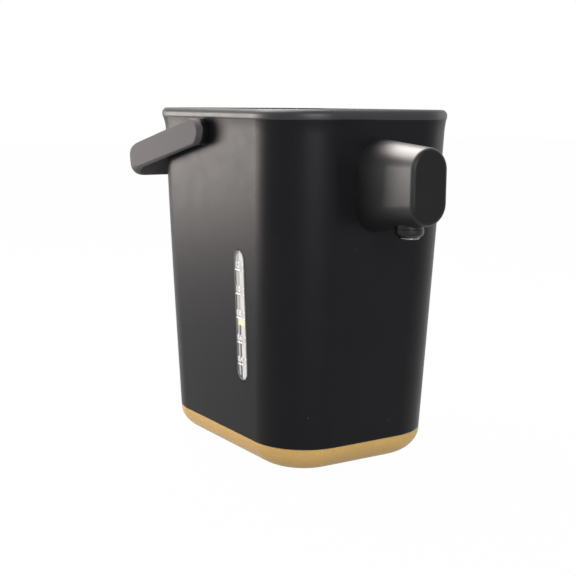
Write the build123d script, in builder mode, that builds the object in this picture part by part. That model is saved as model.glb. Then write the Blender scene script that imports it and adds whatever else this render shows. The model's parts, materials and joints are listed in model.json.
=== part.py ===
"""Electric thermo pot: a tapered rounded body on a curved base, with a spout pod, a water gauge,
a bail handle, a hinged lid with a lever latch, a control panel, a heated container and a pump.

Millimetres. +Z is up, the spout points along -Y and the water gauge is on the -X side.
The origin is on the resting surface, under the middle of the body.
"""

import os
from math import cos, radians, sin

from build123d import *

os.makedirs("parts", exist_ok=True)

# ---------------------------------------------------------------- driving sizes
# Body outline
height = 250.0
rim_height = 6.6
seam_z = 19.8
top_width = 152.0
top_depth = 205.0
side_draft = 0.039  # how much each side comes in per millimetre downwards
front_draft = 0.0516  # the same at the front and the rear
top_corner = 40.8
corner_draft = 0.005
wall = 2.5

# Clearances
seat_gap = 0.1  # between pieces that are fitted by hand and stay put
running_gap = 0.08  # round a pin that something turns on
moving_gap = 0.3  # between pieces that move past each other
lid_rear_gap = 2.6  # lets the lid's rear edge swing up past the collar

# Base
base_inset = 23.4
base_lift = 1.0
base_floor = 4.0
plate_thickness = 2.0
plate_margin = 3.4
base_lip = 3.5
base_steps = 6
foot_radius = 6.5
foot_sink = 0.8
foot_inset_x, foot_inset_y = 48.0, 54.5
base_screw_inset_x, base_screw_inset_y = 52.0, 72.5
screw_radius = 1.4
screw_head_radius = 2.8
screw_head_height = 1.2
base_screw_length = 12.0
screw_angles = (45, 135, 225, 315)

# Chassis and container stand
chassis_thickness = 2.0
chassis_lift = 0.5
boss_radius = 4.0
stand_inset = 3.0
stand_thickness = 3.0
stand_windows = 6
stand_window_width = 24.0
stand_window_height = 13.0

# Container
container_inset = 14.0  # from the body's sides at the rim
container_room = 81.0  # the part of the body's depth that the pump and the walls need
container_thickness = 0.8
container_z = 44.0
container_gasket_thickness = 1.6
neck_inset = 12.0
neck_height = 30.0
shoulder_height = 16.0
flange_reach = 7.0
outlet_z = 52.0
sleeve_thickness = 1.5
sleeve_lift, sleeve_drop = 14.0, 4.0

# Heater
heater_inner = 20.0
heater_inset = 17.0
heater_thickness = 5.0
clamp_inset = 12.0
clamp_thickness = 2.0
sensor_radius = 9.0
sensor_height = 11.0
sensor_edge = 1.0
fuse_radius = 3.0
fuse_length = 24.0
fuse_x = 28.0

# Hoses
hose_bore = 4.0
hose_wall = 1.5
nipple_bore = 3.0
hose_bend = 12.0
hose_overlap = 6.0
hose_end_gap = 1.0
delivery_lead, upper_lead = 26.0, 18.0

# Pump and motor
pump_inset = 38.5
pump_radius = 18.0
pump_wall = 2.0
pump_z = 28.0
pump_height = 14.0
pump_cover_thickness = 3.0
pump_seal_thickness = 0.8
port_z = 35.0
port_shift = 4.0
port_reach = 10.0
tower_radius = 6.5
tower_height = 12.5
axle_radius = 1.5
impeller_radius = 14.0
impeller_hub = 4.0
impeller_disc = 3.0
impeller_height = 8.5
impeller_lift = 1.0
vane_count = 6
vane_thickness = 1.6
vane_height = 5.0
motor_radius = 12.5
motor_z = 8.0
motor_height = 13.0
motor_edge = 1.0
shaft_radius = 1.5
magnet_radius = 12.0
magnet_thickness = 3.4
magnet_clearance = 1.2
bracket_thickness = 1.5
bracket_flange = 22.5
bracket_flange_thickness = 1.6
pump_screw_ring = 20.2
pump_screw_radius = 1.2
pump_screw_head = 2.4
pump_ear_radius = 3.0

# Water gauge
gauge_inset = 65.5  # from the body's front at the rim
gauge_low, gauge_drop = 60.4, 95.8
gauge_width = 14.6
gauge_proud = 0.8
gauge_flange = 2.0
gauge_flange_thickness = 1.2
gauge_edge = 0.6
tube_inset = 17.5
tube_radius = 4.0
tube_low = 52.0
tube_drop = 14.0  # below the spout pipe
scale_gap = 1.0
scale_thickness = 0.8
scale_width = 17.0
scale_under, scale_over = 1.8, 9.8  # how far the scale passes the window
clip_height = 2.4
clip_wall = 2.2

# Spill valve
valve_inset = 22.5
valve_radius = 9.5
valve_wall = 3.0
valve_under, valve_over = 8.0, 16.0  # how far the valve passes the spout pipe's middle
ball_radius = 5.5
valve_inlet_rise = 6.0
valve_inlet_reach = 11.0

# Spout pod and nozzle
pod_reach = 50.2
pod_face_width, pod_face_length, pod_face_drop = 28.6, 49.5, 23.1
pod_base_width, pod_base_length, pod_base_drop = 37.6, 62.6, 19.1
pod_wall = 2.2
pod_root = 5.0  # how far the pod's loft starts inside the body before it is cut to it
pod_edge = 1.8
pod_boss_radius = 3.8
pod_boss_length = 12.0
pod_screw_length = 12.0
pod_screw_under, pod_screw_over = 5.5, 6.7  # inside the pod's upper and lower ends
pipe_drop = 44.0
pipe_radius = 4.5
pipe_bore = 3.2
pipe_bend = 13.0
nozzle_inset = 20.4
nozzle_radius = 9.6
nozzle_length = 14.7
nozzle_proud = 8.1  # below the pod's face
nozzle_edge = 1.4
lip_radius = 6.8
lip_height = 1.8
lip_bore = 4.0
pipe_end_lift = 5.7

# Handle
pivot_y = 9.8
pivot_drop = 16.7
handle_slope = 12.6
handle_stand_off = 9.4
arm_thickness = 5.6
arm_width = 18.8
grip_clearance = 13.0  # from the pivots past half the body's depth
grip_thickness = 8.0
grip_low = 13.2
grip_blend_start, grip_blend_end = 86.0, 106.0
grip_blend_radius = 30.0
handle_corner = 15.6
handle_inner_corner = 9.0
handle_edge = 1.6
boss_width = 18.4
pin_radius = 4.0
pin_depth = 4.2
pin_head_radius = 5.0
pin_head_thickness = 2.5

# Top collar
rim_width = 6.0
rim_edge = 3.2
deck_thickness = 5.0
panel_depth = 55.5
mouth_clearance = 4.0
hinge_inset, hinge_drop = 20.5, 5.0
barrel_radius = 4.2
barrel_inset = 26.0
hinge_pin_radius = 1.5
hinge_pin_seat = 8.0

# Control panel
panel_thickness = 2.4
panel_drop = 0.8
pocket_front_inset, pocket_rear_inset, pocket_margin = 9.5, 43.5, 0.6
scoop_radius = 9.0
lens_width, lens_depth, lens_inset = 36.0, 13.0, 35.0
lens_thickness = 1.4
display_margin = 1.0
button_inset = 17.5
button_radius = 6.0
keep_warm_share, reboil_share = -0.27, -0.15  # of the body's width, from its middle
dispense_share, unlock_share = 0.05, 0.25
dispense_length = 26.0
button_proud = 0.5
button_flange = 1.4
button_flange_thickness = 1.6
button_stem_radius = 2.2
button_travel = 1.0
switch_size = 6.0
switch_height = 2.8
switch_margin = 0.2
board_thickness = 1.6
panel_board_reach = 5.0
panel_board_drop = 2.8
panel_screw_reach, screw_front_inset, screw_rear_inset = 3.0, 22.5, 38.5
panel_boss_radius = 2.8
panel_screw_length = 6.0

# Lid
lid_lift = 0.5
lid_edge = 0.8
lid_rear_corner = 10.0
plug_clearance = 4.0
plug_wall = 2.0
plug_height = 14.9
plug_flange = 5.5
plug_flange_thickness = 3.4
inner_plate_thickness = 1.2
lid_gasket_reach = 7.0
lid_gasket_thickness = 3.0
insulation_gap = 0.4
insulation_top = 1.5
lid_screw_reach = 3.0
lid_screw_radius = 1.1
lid_screw_head = 2.1
lid_screw_length = 4.0
vent_inset = 20.0
vent_radius = 9.0
vent_cap_thickness = 3.0
vent_proud = 0.3
vent_tube_radius = 5.0
vent_tube_bore = 3.4
vent_slots = 3
vent_slot_width = 1.4
vent_slot_pitch = 4.0

# Lid lever and latch
lever_width = 33.0
lever_length = 22.0
lever_barrel = 1.9
lever_drop = 0.1
lever_thickness = 2.4
lever_pin_radius = 0.9
lever_pin_length = 40.0
lever_floor = 1.1
latch_width = 20.0
latch_thickness = 1.1
latch_engagement = 2.8
latch_reach = 16.0
latch_gap = 0.15
spring_gap_width = 6.0
spring_wire = 0.3
spring_length = 4.8
spring_turns = 4

# Power inlet
inlet_z = 33.0
inlet_width, inlet_height = 30.0, 19.0
inlet_length = 13.5
inlet_proud = 0.4
inlet_wall = 3.0
inlet_depth = 9.0
inlet_corner = 4.0
inlet_pin_radius = 1.6
inlet_pin_length = 6.0
inlet_pin_x = 6.5
keeper_width, keeper_height, keeper_thickness = 5.0, 9.0, 1.2

# Power board
power_board_inset_x, power_board_inset_y = 35.0, 40.5
power_board_width = 36.0
power_board_low, power_board_high = 62.0, 142.0
post_width, post_depth = 10.0, 3.0
post_top = 80.0
component_margin = 2.0
relay_shift = 4.0
capacitor_radius, capacitor_height = 6.5, 14.0
relay_size, relay_height = 15.0, 16.0
transformer_size, transformer_height = 22.0, 15.0
sink_inset, sink_thickness, sink_height, sink_depth, sink_fins = 9.0, 1.5, 18.0, 12.0, 3

# ---------------------------------------------------------------- derived places
rim_z = height - rim_height
deck_z = rim_z - deck_thickness
front_y = -top_depth / 2

foot_x = top_width / 2 - foot_inset_x
foot_y = top_depth / 2 - foot_inset_y
base_screw_x = top_width / 2 - base_screw_inset_x
base_screw_y = top_depth / 2 - base_screw_inset_y

pump_y = front_y + pump_inset
port_y = pump_y - port_shift
container_radius = min(top_width / 2 - container_inset, (top_depth - container_room) / 2)
container_y = pump_y + pump_radius + pump_wall + container_radius
stand_outer = container_radius - stand_inset
heater_outer = container_radius - heater_inset
clamp_radius = container_radius - clamp_inset
flange_z = deck_z - container_gasket_thickness - container_thickness
neck_z = flange_z - neck_height
shoulder_z = neck_z - shoulder_height
neck_radius = container_radius - neck_inset
sleeve_low = container_z + sleeve_lift
sleeve_high = shoulder_z - sleeve_drop

gauge_length = height - gauge_drop - gauge_low
gauge_z = gauge_low + gauge_length / 2
gauge_y = front_y + gauge_inset
scale_low = gauge_low - scale_under
scale_high = gauge_low + gauge_length + scale_over
tube_x = tube_inset - top_width / 2

pod_face_y = front_y - pod_reach
pod_face_high = height - pod_face_drop
pod_face_low = pod_face_high - pod_face_length
pod_base_high = height - pod_base_drop
pod_base_low = pod_base_high - pod_base_length
pod_screw_high = pod_base_high - pod_screw_under
pod_screw_low = pod_base_low + pod_screw_over
nozzle_y = pod_face_y + nozzle_inset
nozzle_low = pod_face_low - nozzle_proud
nozzle_high = nozzle_low + nozzle_length
pipe_z = height - pipe_drop
pipe_end_z = nozzle_low + pipe_end_lift
tube_high = pipe_z - tube_drop
valve_y = front_y + valve_inset
valve_low = pipe_z - valve_under
valve_high = pipe_z + valve_over
valve_inlet_z = pipe_z + valve_inlet_rise

pivot_z = height - pivot_drop
handle_outer_x = top_width / 2 + handle_stand_off
grip_reach = top_depth / 2 + grip_clearance

split_y = front_y + panel_depth
hinge_y = top_depth / 2 - hinge_inset
hinge_z = height - hinge_drop
barrel_length = top_width - 2 * barrel_inset
hinge_pin_length = barrel_length + 2 * hinge_pin_seat
lens_y = front_y + lens_inset
button_y = front_y + button_inset
keep_warm_x = keep_warm_share * top_width
panel_pocket_front = front_y + pocket_front_inset
panel_pocket_rear = front_y + pocket_rear_inset
panel_pocket_width = 2 * (button_radius + button_flange + pocket_margin - keep_warm_x)
panel_board_width = panel_pocket_width + 2 * panel_board_reach
panel_screw_x = panel_pocket_width / 2 + panel_screw_reach
panel_screw_front = front_y + screw_front_inset
panel_screw_rear = front_y + screw_rear_inset
power_board_x = top_width / 2 - power_board_inset_x
power_board_y = front_y + power_board_inset_y

panel_top = height - panel_drop
panel_low = panel_top - panel_thickness
lid_low = rim_z + lid_lift
lid_top = hinge_z + barrel_radius
lid_rear_y = hinge_y - barrel_radius - lid_rear_gap
plug_low = lid_low - plug_height
plug_radius = neck_radius - plug_clearance
lid_screw_ring = plug_radius + lid_screw_reach
vent_y = container_y + plug_radius - vent_inset
lever_rear_y = split_y + lever_length
latch_rear_y = split_y + latch_reach
base_plate_top = base_lift + plate_thickness
base_floor_top = base_lift + base_floor
chassis_z = seam_z + chassis_lift
chassis_top = chassis_z + chassis_thickness
hose_radius = hose_bore + hose_wall
pump_top = pump_z + pump_height
pump_cover_z = pump_top + pump_seal_thickness
arm_inner_x = handle_outer_x - arm_thickness
boss_outer_x = arm_inner_x - moving_gap
board_top = deck_z - panel_board_drop
board_low = board_top - board_thickness
plug_flange_z = lid_low - plug_flange_thickness
vent_cap_z = lid_top + vent_proud - vent_cap_thickness
lever_axis_z = lid_top - lever_drop - lever_barrel
lever_low = lid_top - lever_drop - lever_thickness
pocket_floor_z = lid_low + lever_floor
latch_low = pocket_floor_z + latch_gap
latch_front_y = split_y + moving_gap - latch_engagement
gauge_plane_x = top_width / 2 - side_draft * (rim_z - gauge_z)
board_rear_y = power_board_y + board_thickness
pod_base_y = -(top_depth / 2 - front_draft * (rim_z - (pod_base_low + pod_base_high) / 2))

container_axis = Axis((0, container_y, 0), (0, 0, 1))
container_section = Plane.XZ.offset(-container_y)
gauge_plane = Plane(
    origin=(-gauge_plane_x, gauge_y, gauge_z), x_dir=(0, -1, 0), z_dir=(-1, 0, -side_draft)
)
slope = radians(handle_slope)
handle_plane = Plane(
    origin=(0, pivot_y, pivot_z), x_dir=(1, 0, 0), z_dir=(0, sin(slope), cos(slope))
)
handle_side = Plane(
    origin=(0, pivot_y, pivot_z), x_dir=(0, cos(slope), -sin(slope)), z_dir=(1, 0, 0)
)


def half_width(z):
    """Half the body's width at a height."""
    return top_width / 2 - side_draft * (rim_z - z)


def half_depth(z):
    """Half the body's depth at a height."""
    return top_depth / 2 - front_draft * (rim_z - z)


def corner(z):
    """The radius of the body's upright corners at a height."""
    return top_corner - corner_draft * (rim_z - z)


def outline(z, inset=0.0):
    """Adds the body's outline at a height to the open sketch, moved inwards by an inset."""
    return RectangleRounded(
        2 * (half_width(z) - inset), 2 * (half_depth(z) - inset), corner(z) - inset
    )


def rear_part(low_y, high_y, mode=Mode.INTERSECT):
    """Keeps what the open sketch has between two depths."""
    with Locations((0, (low_y + high_y) / 2)):
        return Rectangle(2 * top_width, high_y - low_y, mode=mode)


def bowl_section(step, top_z, depth, shrink):
    """Height and outline of one level of the curved base: a quarter ellipse from its top."""
    turn = radians(90 * step / base_steps)
    inset = shrink + base_inset * (1 - cos(turn))
    return top_z - depth * sin(turn), inset


def pod_section(y, shrink=0.0):
    """Width, length and middle height of the pod's upright slot shape at a depth."""
    share = (y - pod_base_y) / (pod_face_y - pod_base_y)
    width = pod_base_width + share * (pod_face_width - pod_base_width) - 2 * shrink
    low = pod_base_low + share * (pod_face_low - pod_base_low) + shrink
    high = pod_base_high + share * (pod_face_high - pod_base_high) - shrink
    return width, high - low, (high + low) / 2


def save(piece, name):
    """Labels a finished piece and writes it."""
    piece.part.label = name
    export_step(piece.part, f"parts/{name}.step")


def swept_tube(route, outer, bore):
    """A round tube along a route of lines and arcs."""
    with BuildPart() as tube:
        with BuildLine():
            add(route)
        with BuildSketch(Plane(origin=route @ 0, z_dir=route % 0)):
            Circle(outer)
            Circle(bore, mode=Mode.SUBTRACT)
        sweep()
    return tube


# ---------------------------------------------------------------- body and base
with BuildPart() as envelope:
    for z in (seam_z, rim_z):
        with BuildSketch(Plane.XY.offset(z)):
            outline(z)
    loft()

with BuildPart() as outer_shell:
    for z in (seam_z, rim_z):
        with BuildSketch(Plane.XY.offset(z)):
            outline(z)
    loft()
    for z in (seam_z, rim_z):
        with BuildSketch(Plane.XY.offset(z)):
            outline(z, wall)
    loft(mode=Mode.SUBTRACT)
    with BuildSketch(gauge_plane):
        SlotOverall(gauge_length, gauge_width, rotation=90)
    extrude(amount=2 * wall, both=True, mode=Mode.SUBTRACT)
    with BuildSketch(Plane.YZ):
        with Locations((pivot_y, pivot_z)):
            Circle(pin_radius)
    extrude(amount=top_width, both=True, mode=Mode.SUBTRACT)
    with BuildSketch(Plane.XZ):
        with Locations((0, pipe_z)):
            Circle(pipe_radius + seat_gap)
        with Locations((0, pod_screw_high), (0, pod_screw_low)):
            Circle(screw_radius)
    extrude(amount=top_depth, mode=Mode.SUBTRACT)
    with BuildSketch(Plane.XZ):
        with Locations((0, inlet_z)):
            RectangleRounded(inlet_width, inlet_height, inlet_corner)
    extrude(amount=-top_depth, mode=Mode.SUBTRACT)
save(outer_shell, "outer_shell")

with BuildPart() as base_skirt:
    for step in range(base_steps + 1):
        z, inset = bowl_section(step, seam_z, seam_z - base_lift, 0)
        with BuildSketch(Plane.XY.offset(z)):
            outline(seam_z, inset)
    loft()
    for step in range(base_steps + 1):
        z, inset = bowl_section(step, seam_z, seam_z - base_floor_top, wall)
        with BuildSketch(Plane.XY.offset(z)):
            outline(seam_z, inset)
    loft(mode=Mode.SUBTRACT)
    with BuildSketch(Plane.XY.offset(base_lift)):
        outline(seam_z, base_inset + plate_margin)
    extrude(amount=plate_thickness, mode=Mode.SUBTRACT)
    with BuildSketch(Plane.XY.offset(base_lift)):
        outline(seam_z, base_inset + plate_margin + base_lip)
    extrude(amount=base_floor, mode=Mode.SUBTRACT)
save(base_skirt, "base_skirt")

base_screw_spots = [(x, y) for x in (-base_screw_x, base_screw_x) for y in (-base_screw_y, base_screw_y)]
foot_spots = [(x, y) for x in (-foot_x, foot_x) for y in (-foot_y, foot_y)]

with BuildPart() as bottom_plate:
    with BuildSketch(Plane.XY.offset(base_lift)):
        outline(seam_z, base_inset + plate_margin + seat_gap)
    extrude(amount=plate_thickness)
    with BuildSketch(Plane.XY.offset(base_lift)):
        with Locations(*base_screw_spots):
            Circle(screw_radius)
    extrude(amount=plate_thickness, mode=Mode.SUBTRACT)
    with BuildSketch(Plane.XY.offset(base_lift)):
        with Locations(*base_screw_spots):
            Circle(screw_head_radius)
    extrude(amount=screw_head_height, mode=Mode.SUBTRACT)
    with BuildSketch(Plane.XY.offset(base_lift)):
        with Locations(*foot_spots):
            Circle(foot_radius)
    extrude(amount=foot_sink, mode=Mode.SUBTRACT)
save(bottom_plate, "bottom_plate")

with BuildPart() as rubber_feet:
    with BuildSketch(Plane.XY):
        with Locations(*foot_spots):
            Circle(foot_radius)
    extrude(amount=base_lift + foot_sink)
    fillet(rubber_feet.faces().group_by(Axis.Z)[0].edges(), base_lift / 2)
save(rubber_feet, "rubber_feet")

with BuildPart() as chassis:
    with BuildSketch(Plane.XY.offset(chassis_z)):
        outline(chassis_z, wall + seat_gap)
        with Locations((0, pump_y)):
            Circle(motor_radius + bracket_thickness + seat_gap, mode=Mode.SUBTRACT)
    extrude(amount=chassis_thickness)
    with BuildSketch(Plane.XY.offset(base_plate_top)):
        with Locations(*base_screw_spots):
            Circle(boss_radius)
    extrude(amount=chassis_z - base_plate_top)
    with BuildSketch(Plane.XY.offset(base_plate_top)):
        with Locations(*base_screw_spots):
            Circle(screw_radius)
    extrude(amount=base_screw_length, mode=Mode.SUBTRACT)
    with BuildSketch(Plane.XY.offset(chassis_top)):
        with Locations((power_board_x, board_rear_y + post_depth / 2)):
            Rectangle(post_width, post_depth)
    extrude(amount=post_top - chassis_top)
save(chassis, "chassis")

# ---------------------------------------------------------------- container and heater
with BuildPart() as container_stand:
    with BuildSketch(Plane.XY.offset(chassis_top)):
        with Locations((0, container_y)):
            Circle(stand_outer)
            Circle(stand_outer - stand_thickness, mode=Mode.SUBTRACT)
    extrude(amount=container_z - chassis_top)
    with BuildSketch(Plane.XY.offset((chassis_top + container_z - stand_window_height) / 2)):
        with Locations((0, container_y)):
            with PolarLocations(stand_outer - stand_thickness / 2, stand_windows):
                Rectangle(3 * stand_thickness, stand_window_width)
    extrude(amount=stand_window_height, mode=Mode.SUBTRACT)
save(container_stand, "container_stand")

outer_radius = container_radius + container_thickness
neck_outer = neck_radius + container_thickness
with BuildPart() as container:
    with BuildSketch(container_section):
        with BuildLine():
            Polyline(
                (0, container_z),
                (outer_radius, container_z),
                (outer_radius, shoulder_z),
                (neck_outer, neck_z),
                (neck_outer, flange_z),
                (neck_radius + flange_reach, flange_z),
                (neck_radius + flange_reach, flange_z + container_thickness),
                (neck_radius, flange_z + container_thickness),
                (neck_radius, neck_z),
                (container_radius, shoulder_z),
                (container_radius, container_z + container_thickness),
                (0, container_z + container_thickness),
                close=True,
            )
        make_face()
    revolve(axis=container_axis)
    nipple_tip = container_y - outer_radius - hose_overlap
    with BuildSketch(Plane.XZ.offset(-nipple_tip)):
        with Locations((0, outlet_z)):
            Circle(hose_bore)
    extrude(amount=-hose_overlap - container_thickness)
    with BuildSketch(Plane.XZ.offset(-nipple_tip)):
        with Locations((0, outlet_z)):
            Circle(nipple_bore)
    extrude(amount=-2 * hose_overlap, mode=Mode.SUBTRACT)
save(container, "container")

with BuildPart() as container_gasket:
    with BuildSketch(Plane.XY.offset(flange_z + container_thickness)):
        with Locations((0, container_y)):
            Circle(neck_radius + flange_reach)
            Circle(neck_radius + mouth_clearance, mode=Mode.SUBTRACT)
    extrude(amount=deck_z - flange_z - container_thickness)
save(container_gasket, "container_gasket")

with BuildPart() as insulation_sleeve:
    with BuildSketch(Plane.XY.offset(sleeve_low)):
        with Locations((0, container_y)):
            Circle(outer_radius + moving_gap + sleeve_thickness)
            Circle(outer_radius + moving_gap, mode=Mode.SUBTRACT)
    extrude(amount=sleeve_high - sleeve_low)
save(insulation_sleeve, "insulation_sleeve")

heater_z = container_z - heater_thickness
with BuildPart() as heater:
    with BuildSketch(Plane.XY.offset(heater_z)):
        with Locations((0, container_y)):
            Circle(heater_outer)
            Circle(heater_inner, mode=Mode.SUBTRACT)
    extrude(amount=heater_thickness)
save(heater, "heater")

with BuildPart() as heater_clamp:
    with BuildSketch(Plane.XY.offset(heater_z - clamp_thickness)):
        with Locations((0, container_y)):
            Circle(clamp_radius)
            Circle(sensor_radius + seat_gap, mode=Mode.SUBTRACT)
    extrude(amount=clamp_thickness)
save(heater_clamp, "heater_clamp")

with BuildPart() as temperature_sensor:
    with BuildSketch(Plane.XY.offset(container_z - sensor_height)):
        with Locations((0, container_y)):
            Circle(sensor_radius)
    extrude(amount=sensor_height)
    fillet(temperature_sensor.edges().group_by(Axis.Z)[0], sensor_edge)
save(temperature_sensor, "temperature_sensor")

with BuildPart() as thermal_fuse:
    with BuildSketch(Plane.XZ.offset(-(container_y - fuse_length / 2))):
        with Locations((fuse_x, heater_z - clamp_thickness - fuse_radius)):
            Circle(fuse_radius)
    extrude(amount=-fuse_length)
save(thermal_fuse, "thermal_fuse")

# ---------------------------------------------------------------- pump and motor
pump_screw_spots = [
    (pump_screw_ring * cos(radians(a)), pump_y + pump_screw_ring * sin(radians(a)))
    for a in screw_angles
]

with BuildPart() as pump_housing:
    with BuildSketch(Plane.XY.offset(pump_z)):
        with Locations((0, pump_y)):
            Circle(pump_radius)
        with Locations(*pump_screw_spots):
            Circle(pump_ear_radius)
    extrude(amount=pump_height)
    with BuildSketch(Plane.YZ.offset(-(pump_radius + port_reach))):
        with Locations((port_y, port_z)):
            Circle(hose_bore)
    extrude(amount=port_reach + pump_radius)
    with BuildSketch(Plane.XY.offset(pump_z + pump_wall)):
        with Locations((0, pump_y)):
            Circle(pump_radius - pump_wall)
    extrude(amount=pump_height, mode=Mode.SUBTRACT)
    with BuildSketch(Plane.YZ.offset(-(pump_radius + port_reach))):
        with Locations((port_y, port_z)):
            Circle(nipple_bore)
    extrude(amount=port_reach + pump_radius, mode=Mode.SUBTRACT)
    with BuildSketch(Plane.XY.offset(pump_z)):
        with Locations(*pump_screw_spots):
            Circle(pump_screw_radius)
    extrude(amount=pump_height, mode=Mode.SUBTRACT)
    with BuildSketch(Plane.XY.offset(pump_z)):
        with Locations((0, pump_y)):
            Circle(axle_radius)
    extrude(amount=pump_height)
save(pump_housing, "pump_housing")

with BuildPart() as pump_seal:
    with BuildSketch(Plane.XY.offset(pump_top)):
        with Locations((0, pump_y)):
            Circle(pump_radius)
            Circle(pump_radius - pump_wall, mode=Mode.SUBTRACT)
    extrude(amount=pump_seal_thickness)
save(pump_seal, "pump_seal")

tower_top = pump_cover_z + pump_cover_thickness + tower_height
suction_tip = pump_y + tower_radius + hose_overlap
with BuildPart() as pump_cover:
    with BuildSketch(Plane.XY.offset(pump_cover_z)):
        with Locations((0, pump_y)):
            Circle(pump_radius)
        with Locations(*pump_screw_spots):
            Circle(pump_ear_radius)
    extrude(amount=pump_cover_thickness)
    with BuildSketch(Plane.XY.offset(pump_cover_z)):
        with Locations((0, pump_y)):
            Circle(tower_radius)
    extrude(amount=tower_top - pump_cover_z)
    with BuildSketch(Plane.XZ.offset(-pump_y)):
        with Locations((0, outlet_z)):
            Circle(hose_bore)
    extrude(amount=pump_y - suction_tip)
    with BuildSketch(Plane.XZ.offset(-pump_y)):
        with Locations((0, outlet_z)):
            Circle(nipple_bore)
    extrude(amount=pump_y - suction_tip, mode=Mode.SUBTRACT)
    with BuildSketch(Plane.XY.offset(pump_cover_z)):
        with Locations((0, pump_y)):
            Circle(nipple_bore)
    extrude(amount=outlet_z - pump_cover_z, mode=Mode.SUBTRACT)
    with BuildSketch(Plane.XY.offset(pump_cover_z)):
        with Locations(*pump_screw_spots):
            Circle(pump_screw_radius)
    extrude(amount=pump_cover_thickness, mode=Mode.SUBTRACT)
save(pump_cover, "pump_cover")

impeller_z = pump_z + pump_wall + impeller_lift
with BuildPart() as impeller:
    with BuildSketch(Plane.XY.offset(impeller_z)):
        with Locations((0, pump_y)):
            Circle(impeller_radius)
    extrude(amount=impeller_disc)
    with BuildSketch(Plane.XY.offset(impeller_z)):
        with Locations((0, pump_y)):
            Circle(impeller_hub)
    extrude(amount=impeller_height)
    with BuildSketch(Plane.XY.offset(impeller_z)):
        with Locations((0, pump_y)):
            with PolarLocations(impeller_radius / 2, vane_count):
                Rectangle(impeller_radius - vane_thickness, vane_thickness)
    extrude(amount=impeller_disc + vane_height)
    with BuildSketch(Plane.XY.offset(impeller_z)):
        with Locations((0, pump_y)):
            Circle(axle_radius + running_gap)
    extrude(amount=impeller_height, mode=Mode.SUBTRACT)
save(impeller, "impeller")

with BuildPart() as motor_bracket:
    with BuildSketch(Plane.XY.offset(motor_z + motor_height / 2)):
        with Locations((0, pump_y)):
            Circle(motor_radius + bracket_thickness)
    extrude(amount=pump_z - motor_z - motor_height / 2)
    with BuildSketch(Plane.XY.offset(chassis_top)):
        with Locations((0, pump_y)):
            Circle(bracket_flange)
    extrude(amount=bracket_flange_thickness)
    with BuildSketch(Plane.XY.offset(motor_z)):
        with Locations((0, pump_y)):
            Circle(motor_radius)
    extrude(amount=pump_z - motor_z, mode=Mode.SUBTRACT)
save(motor_bracket, "motor_bracket")

with BuildPart() as motor_can:
    with BuildSketch(Plane.XY.offset(motor_z)):
        with Locations((0, pump_y)):
            Circle(motor_radius)
    extrude(amount=motor_height)
    fillet(motor_can.edges().group_by(Axis.Z)[0], motor_edge)
    with BuildSketch(Plane.XY.offset(motor_z + bracket_thickness)):
        with Locations((0, pump_y)):
            Circle(shaft_radius + running_gap)
    extrude(amount=motor_height, mode=Mode.SUBTRACT)
save(motor_can, "motor_can")

magnet_z = pump_z - magnet_clearance - magnet_thickness
with BuildPart() as motor_shaft:
    with BuildSketch(Plane.XY.offset(motor_z + bracket_thickness + moving_gap)):
        with Locations((0, pump_y)):
            Circle(shaft_radius)
    extrude(amount=magnet_z + magnet_thickness - motor_z - bracket_thickness - moving_gap)
save(motor_shaft, "motor_shaft")

with BuildPart() as drive_magnet:
    with BuildSketch(Plane.XY.offset(magnet_z)):
        with Locations((0, pump_y)):
            Circle(magnet_radius)
            Circle(shaft_radius, mode=Mode.SUBTRACT)
    extrude(amount=magnet_thickness)
save(drive_magnet, "drive_magnet")

# ---------------------------------------------------------------- hoses, gauge and spill valve
suction_start = pump_y + tower_radius + hose_end_gap
suction_end = container_y - outer_radius - hose_end_gap
suction_route = Line((0, suction_start, outlet_z), (0, suction_end, outlet_z))
suction_hose = swept_tube(suction_route, hose_radius, hose_bore)

delivery_route = FilletPolyline(
    (-pump_radius - port_reach + hose_overlap, port_y, port_z),
    (-pump_radius - delivery_lead, port_y, port_z),
    (tube_x, gauge_y, port_z),
    (tube_x, gauge_y, tube_low + hose_overlap),
    radius=hose_bend,
)
delivery_hose = swept_tube(delivery_route, hose_radius, hose_bore)

valve_port_x = -valve_radius - valve_inlet_reach
upper_route = FilletPolyline(
    (tube_x, gauge_y, tube_high - hose_overlap),
    (tube_x, gauge_y, valve_inlet_z),
    (valve_port_x - upper_lead, valve_y, valve_inlet_z),
    (valve_port_x + hose_overlap, valve_y, valve_inlet_z),
    radius=hose_bend,
)
upper_hose = swept_tube(upper_route, hose_radius, hose_bore)
with BuildPart() as hoses:
    add([suction_hose.part, delivery_hose.part, upper_hose.part])
save(hoses, "hoses")

with BuildPart() as gauge_tube:
    with BuildSketch(Plane.XY.offset(tube_low)):
        with Locations((tube_x, gauge_y)):
            Circle(tube_radius)
            Circle(nipple_bore, mode=Mode.SUBTRACT)
    extrude(amount=tube_high - tube_low)
save(gauge_tube, "gauge_tube")

with BuildPart() as gauge_window:
    with BuildSketch(gauge_plane.offset(-wall)):
        SlotOverall(gauge_length - 2 * seat_gap, gauge_width - 2 * seat_gap, rotation=90)
    extrude(amount=wall + gauge_proud)
    fillet(gauge_window.faces().sort_by(Axis.X)[0].edges(), gauge_edge)
    with BuildSketch(gauge_plane.offset(-wall - gauge_flange_thickness)):
        SlotOverall(gauge_length + 2 * gauge_flange, gauge_width + 2 * gauge_flange, rotation=90)
    extrude(amount=gauge_flange_thickness)
save(gauge_window, "gauge_window")

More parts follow.
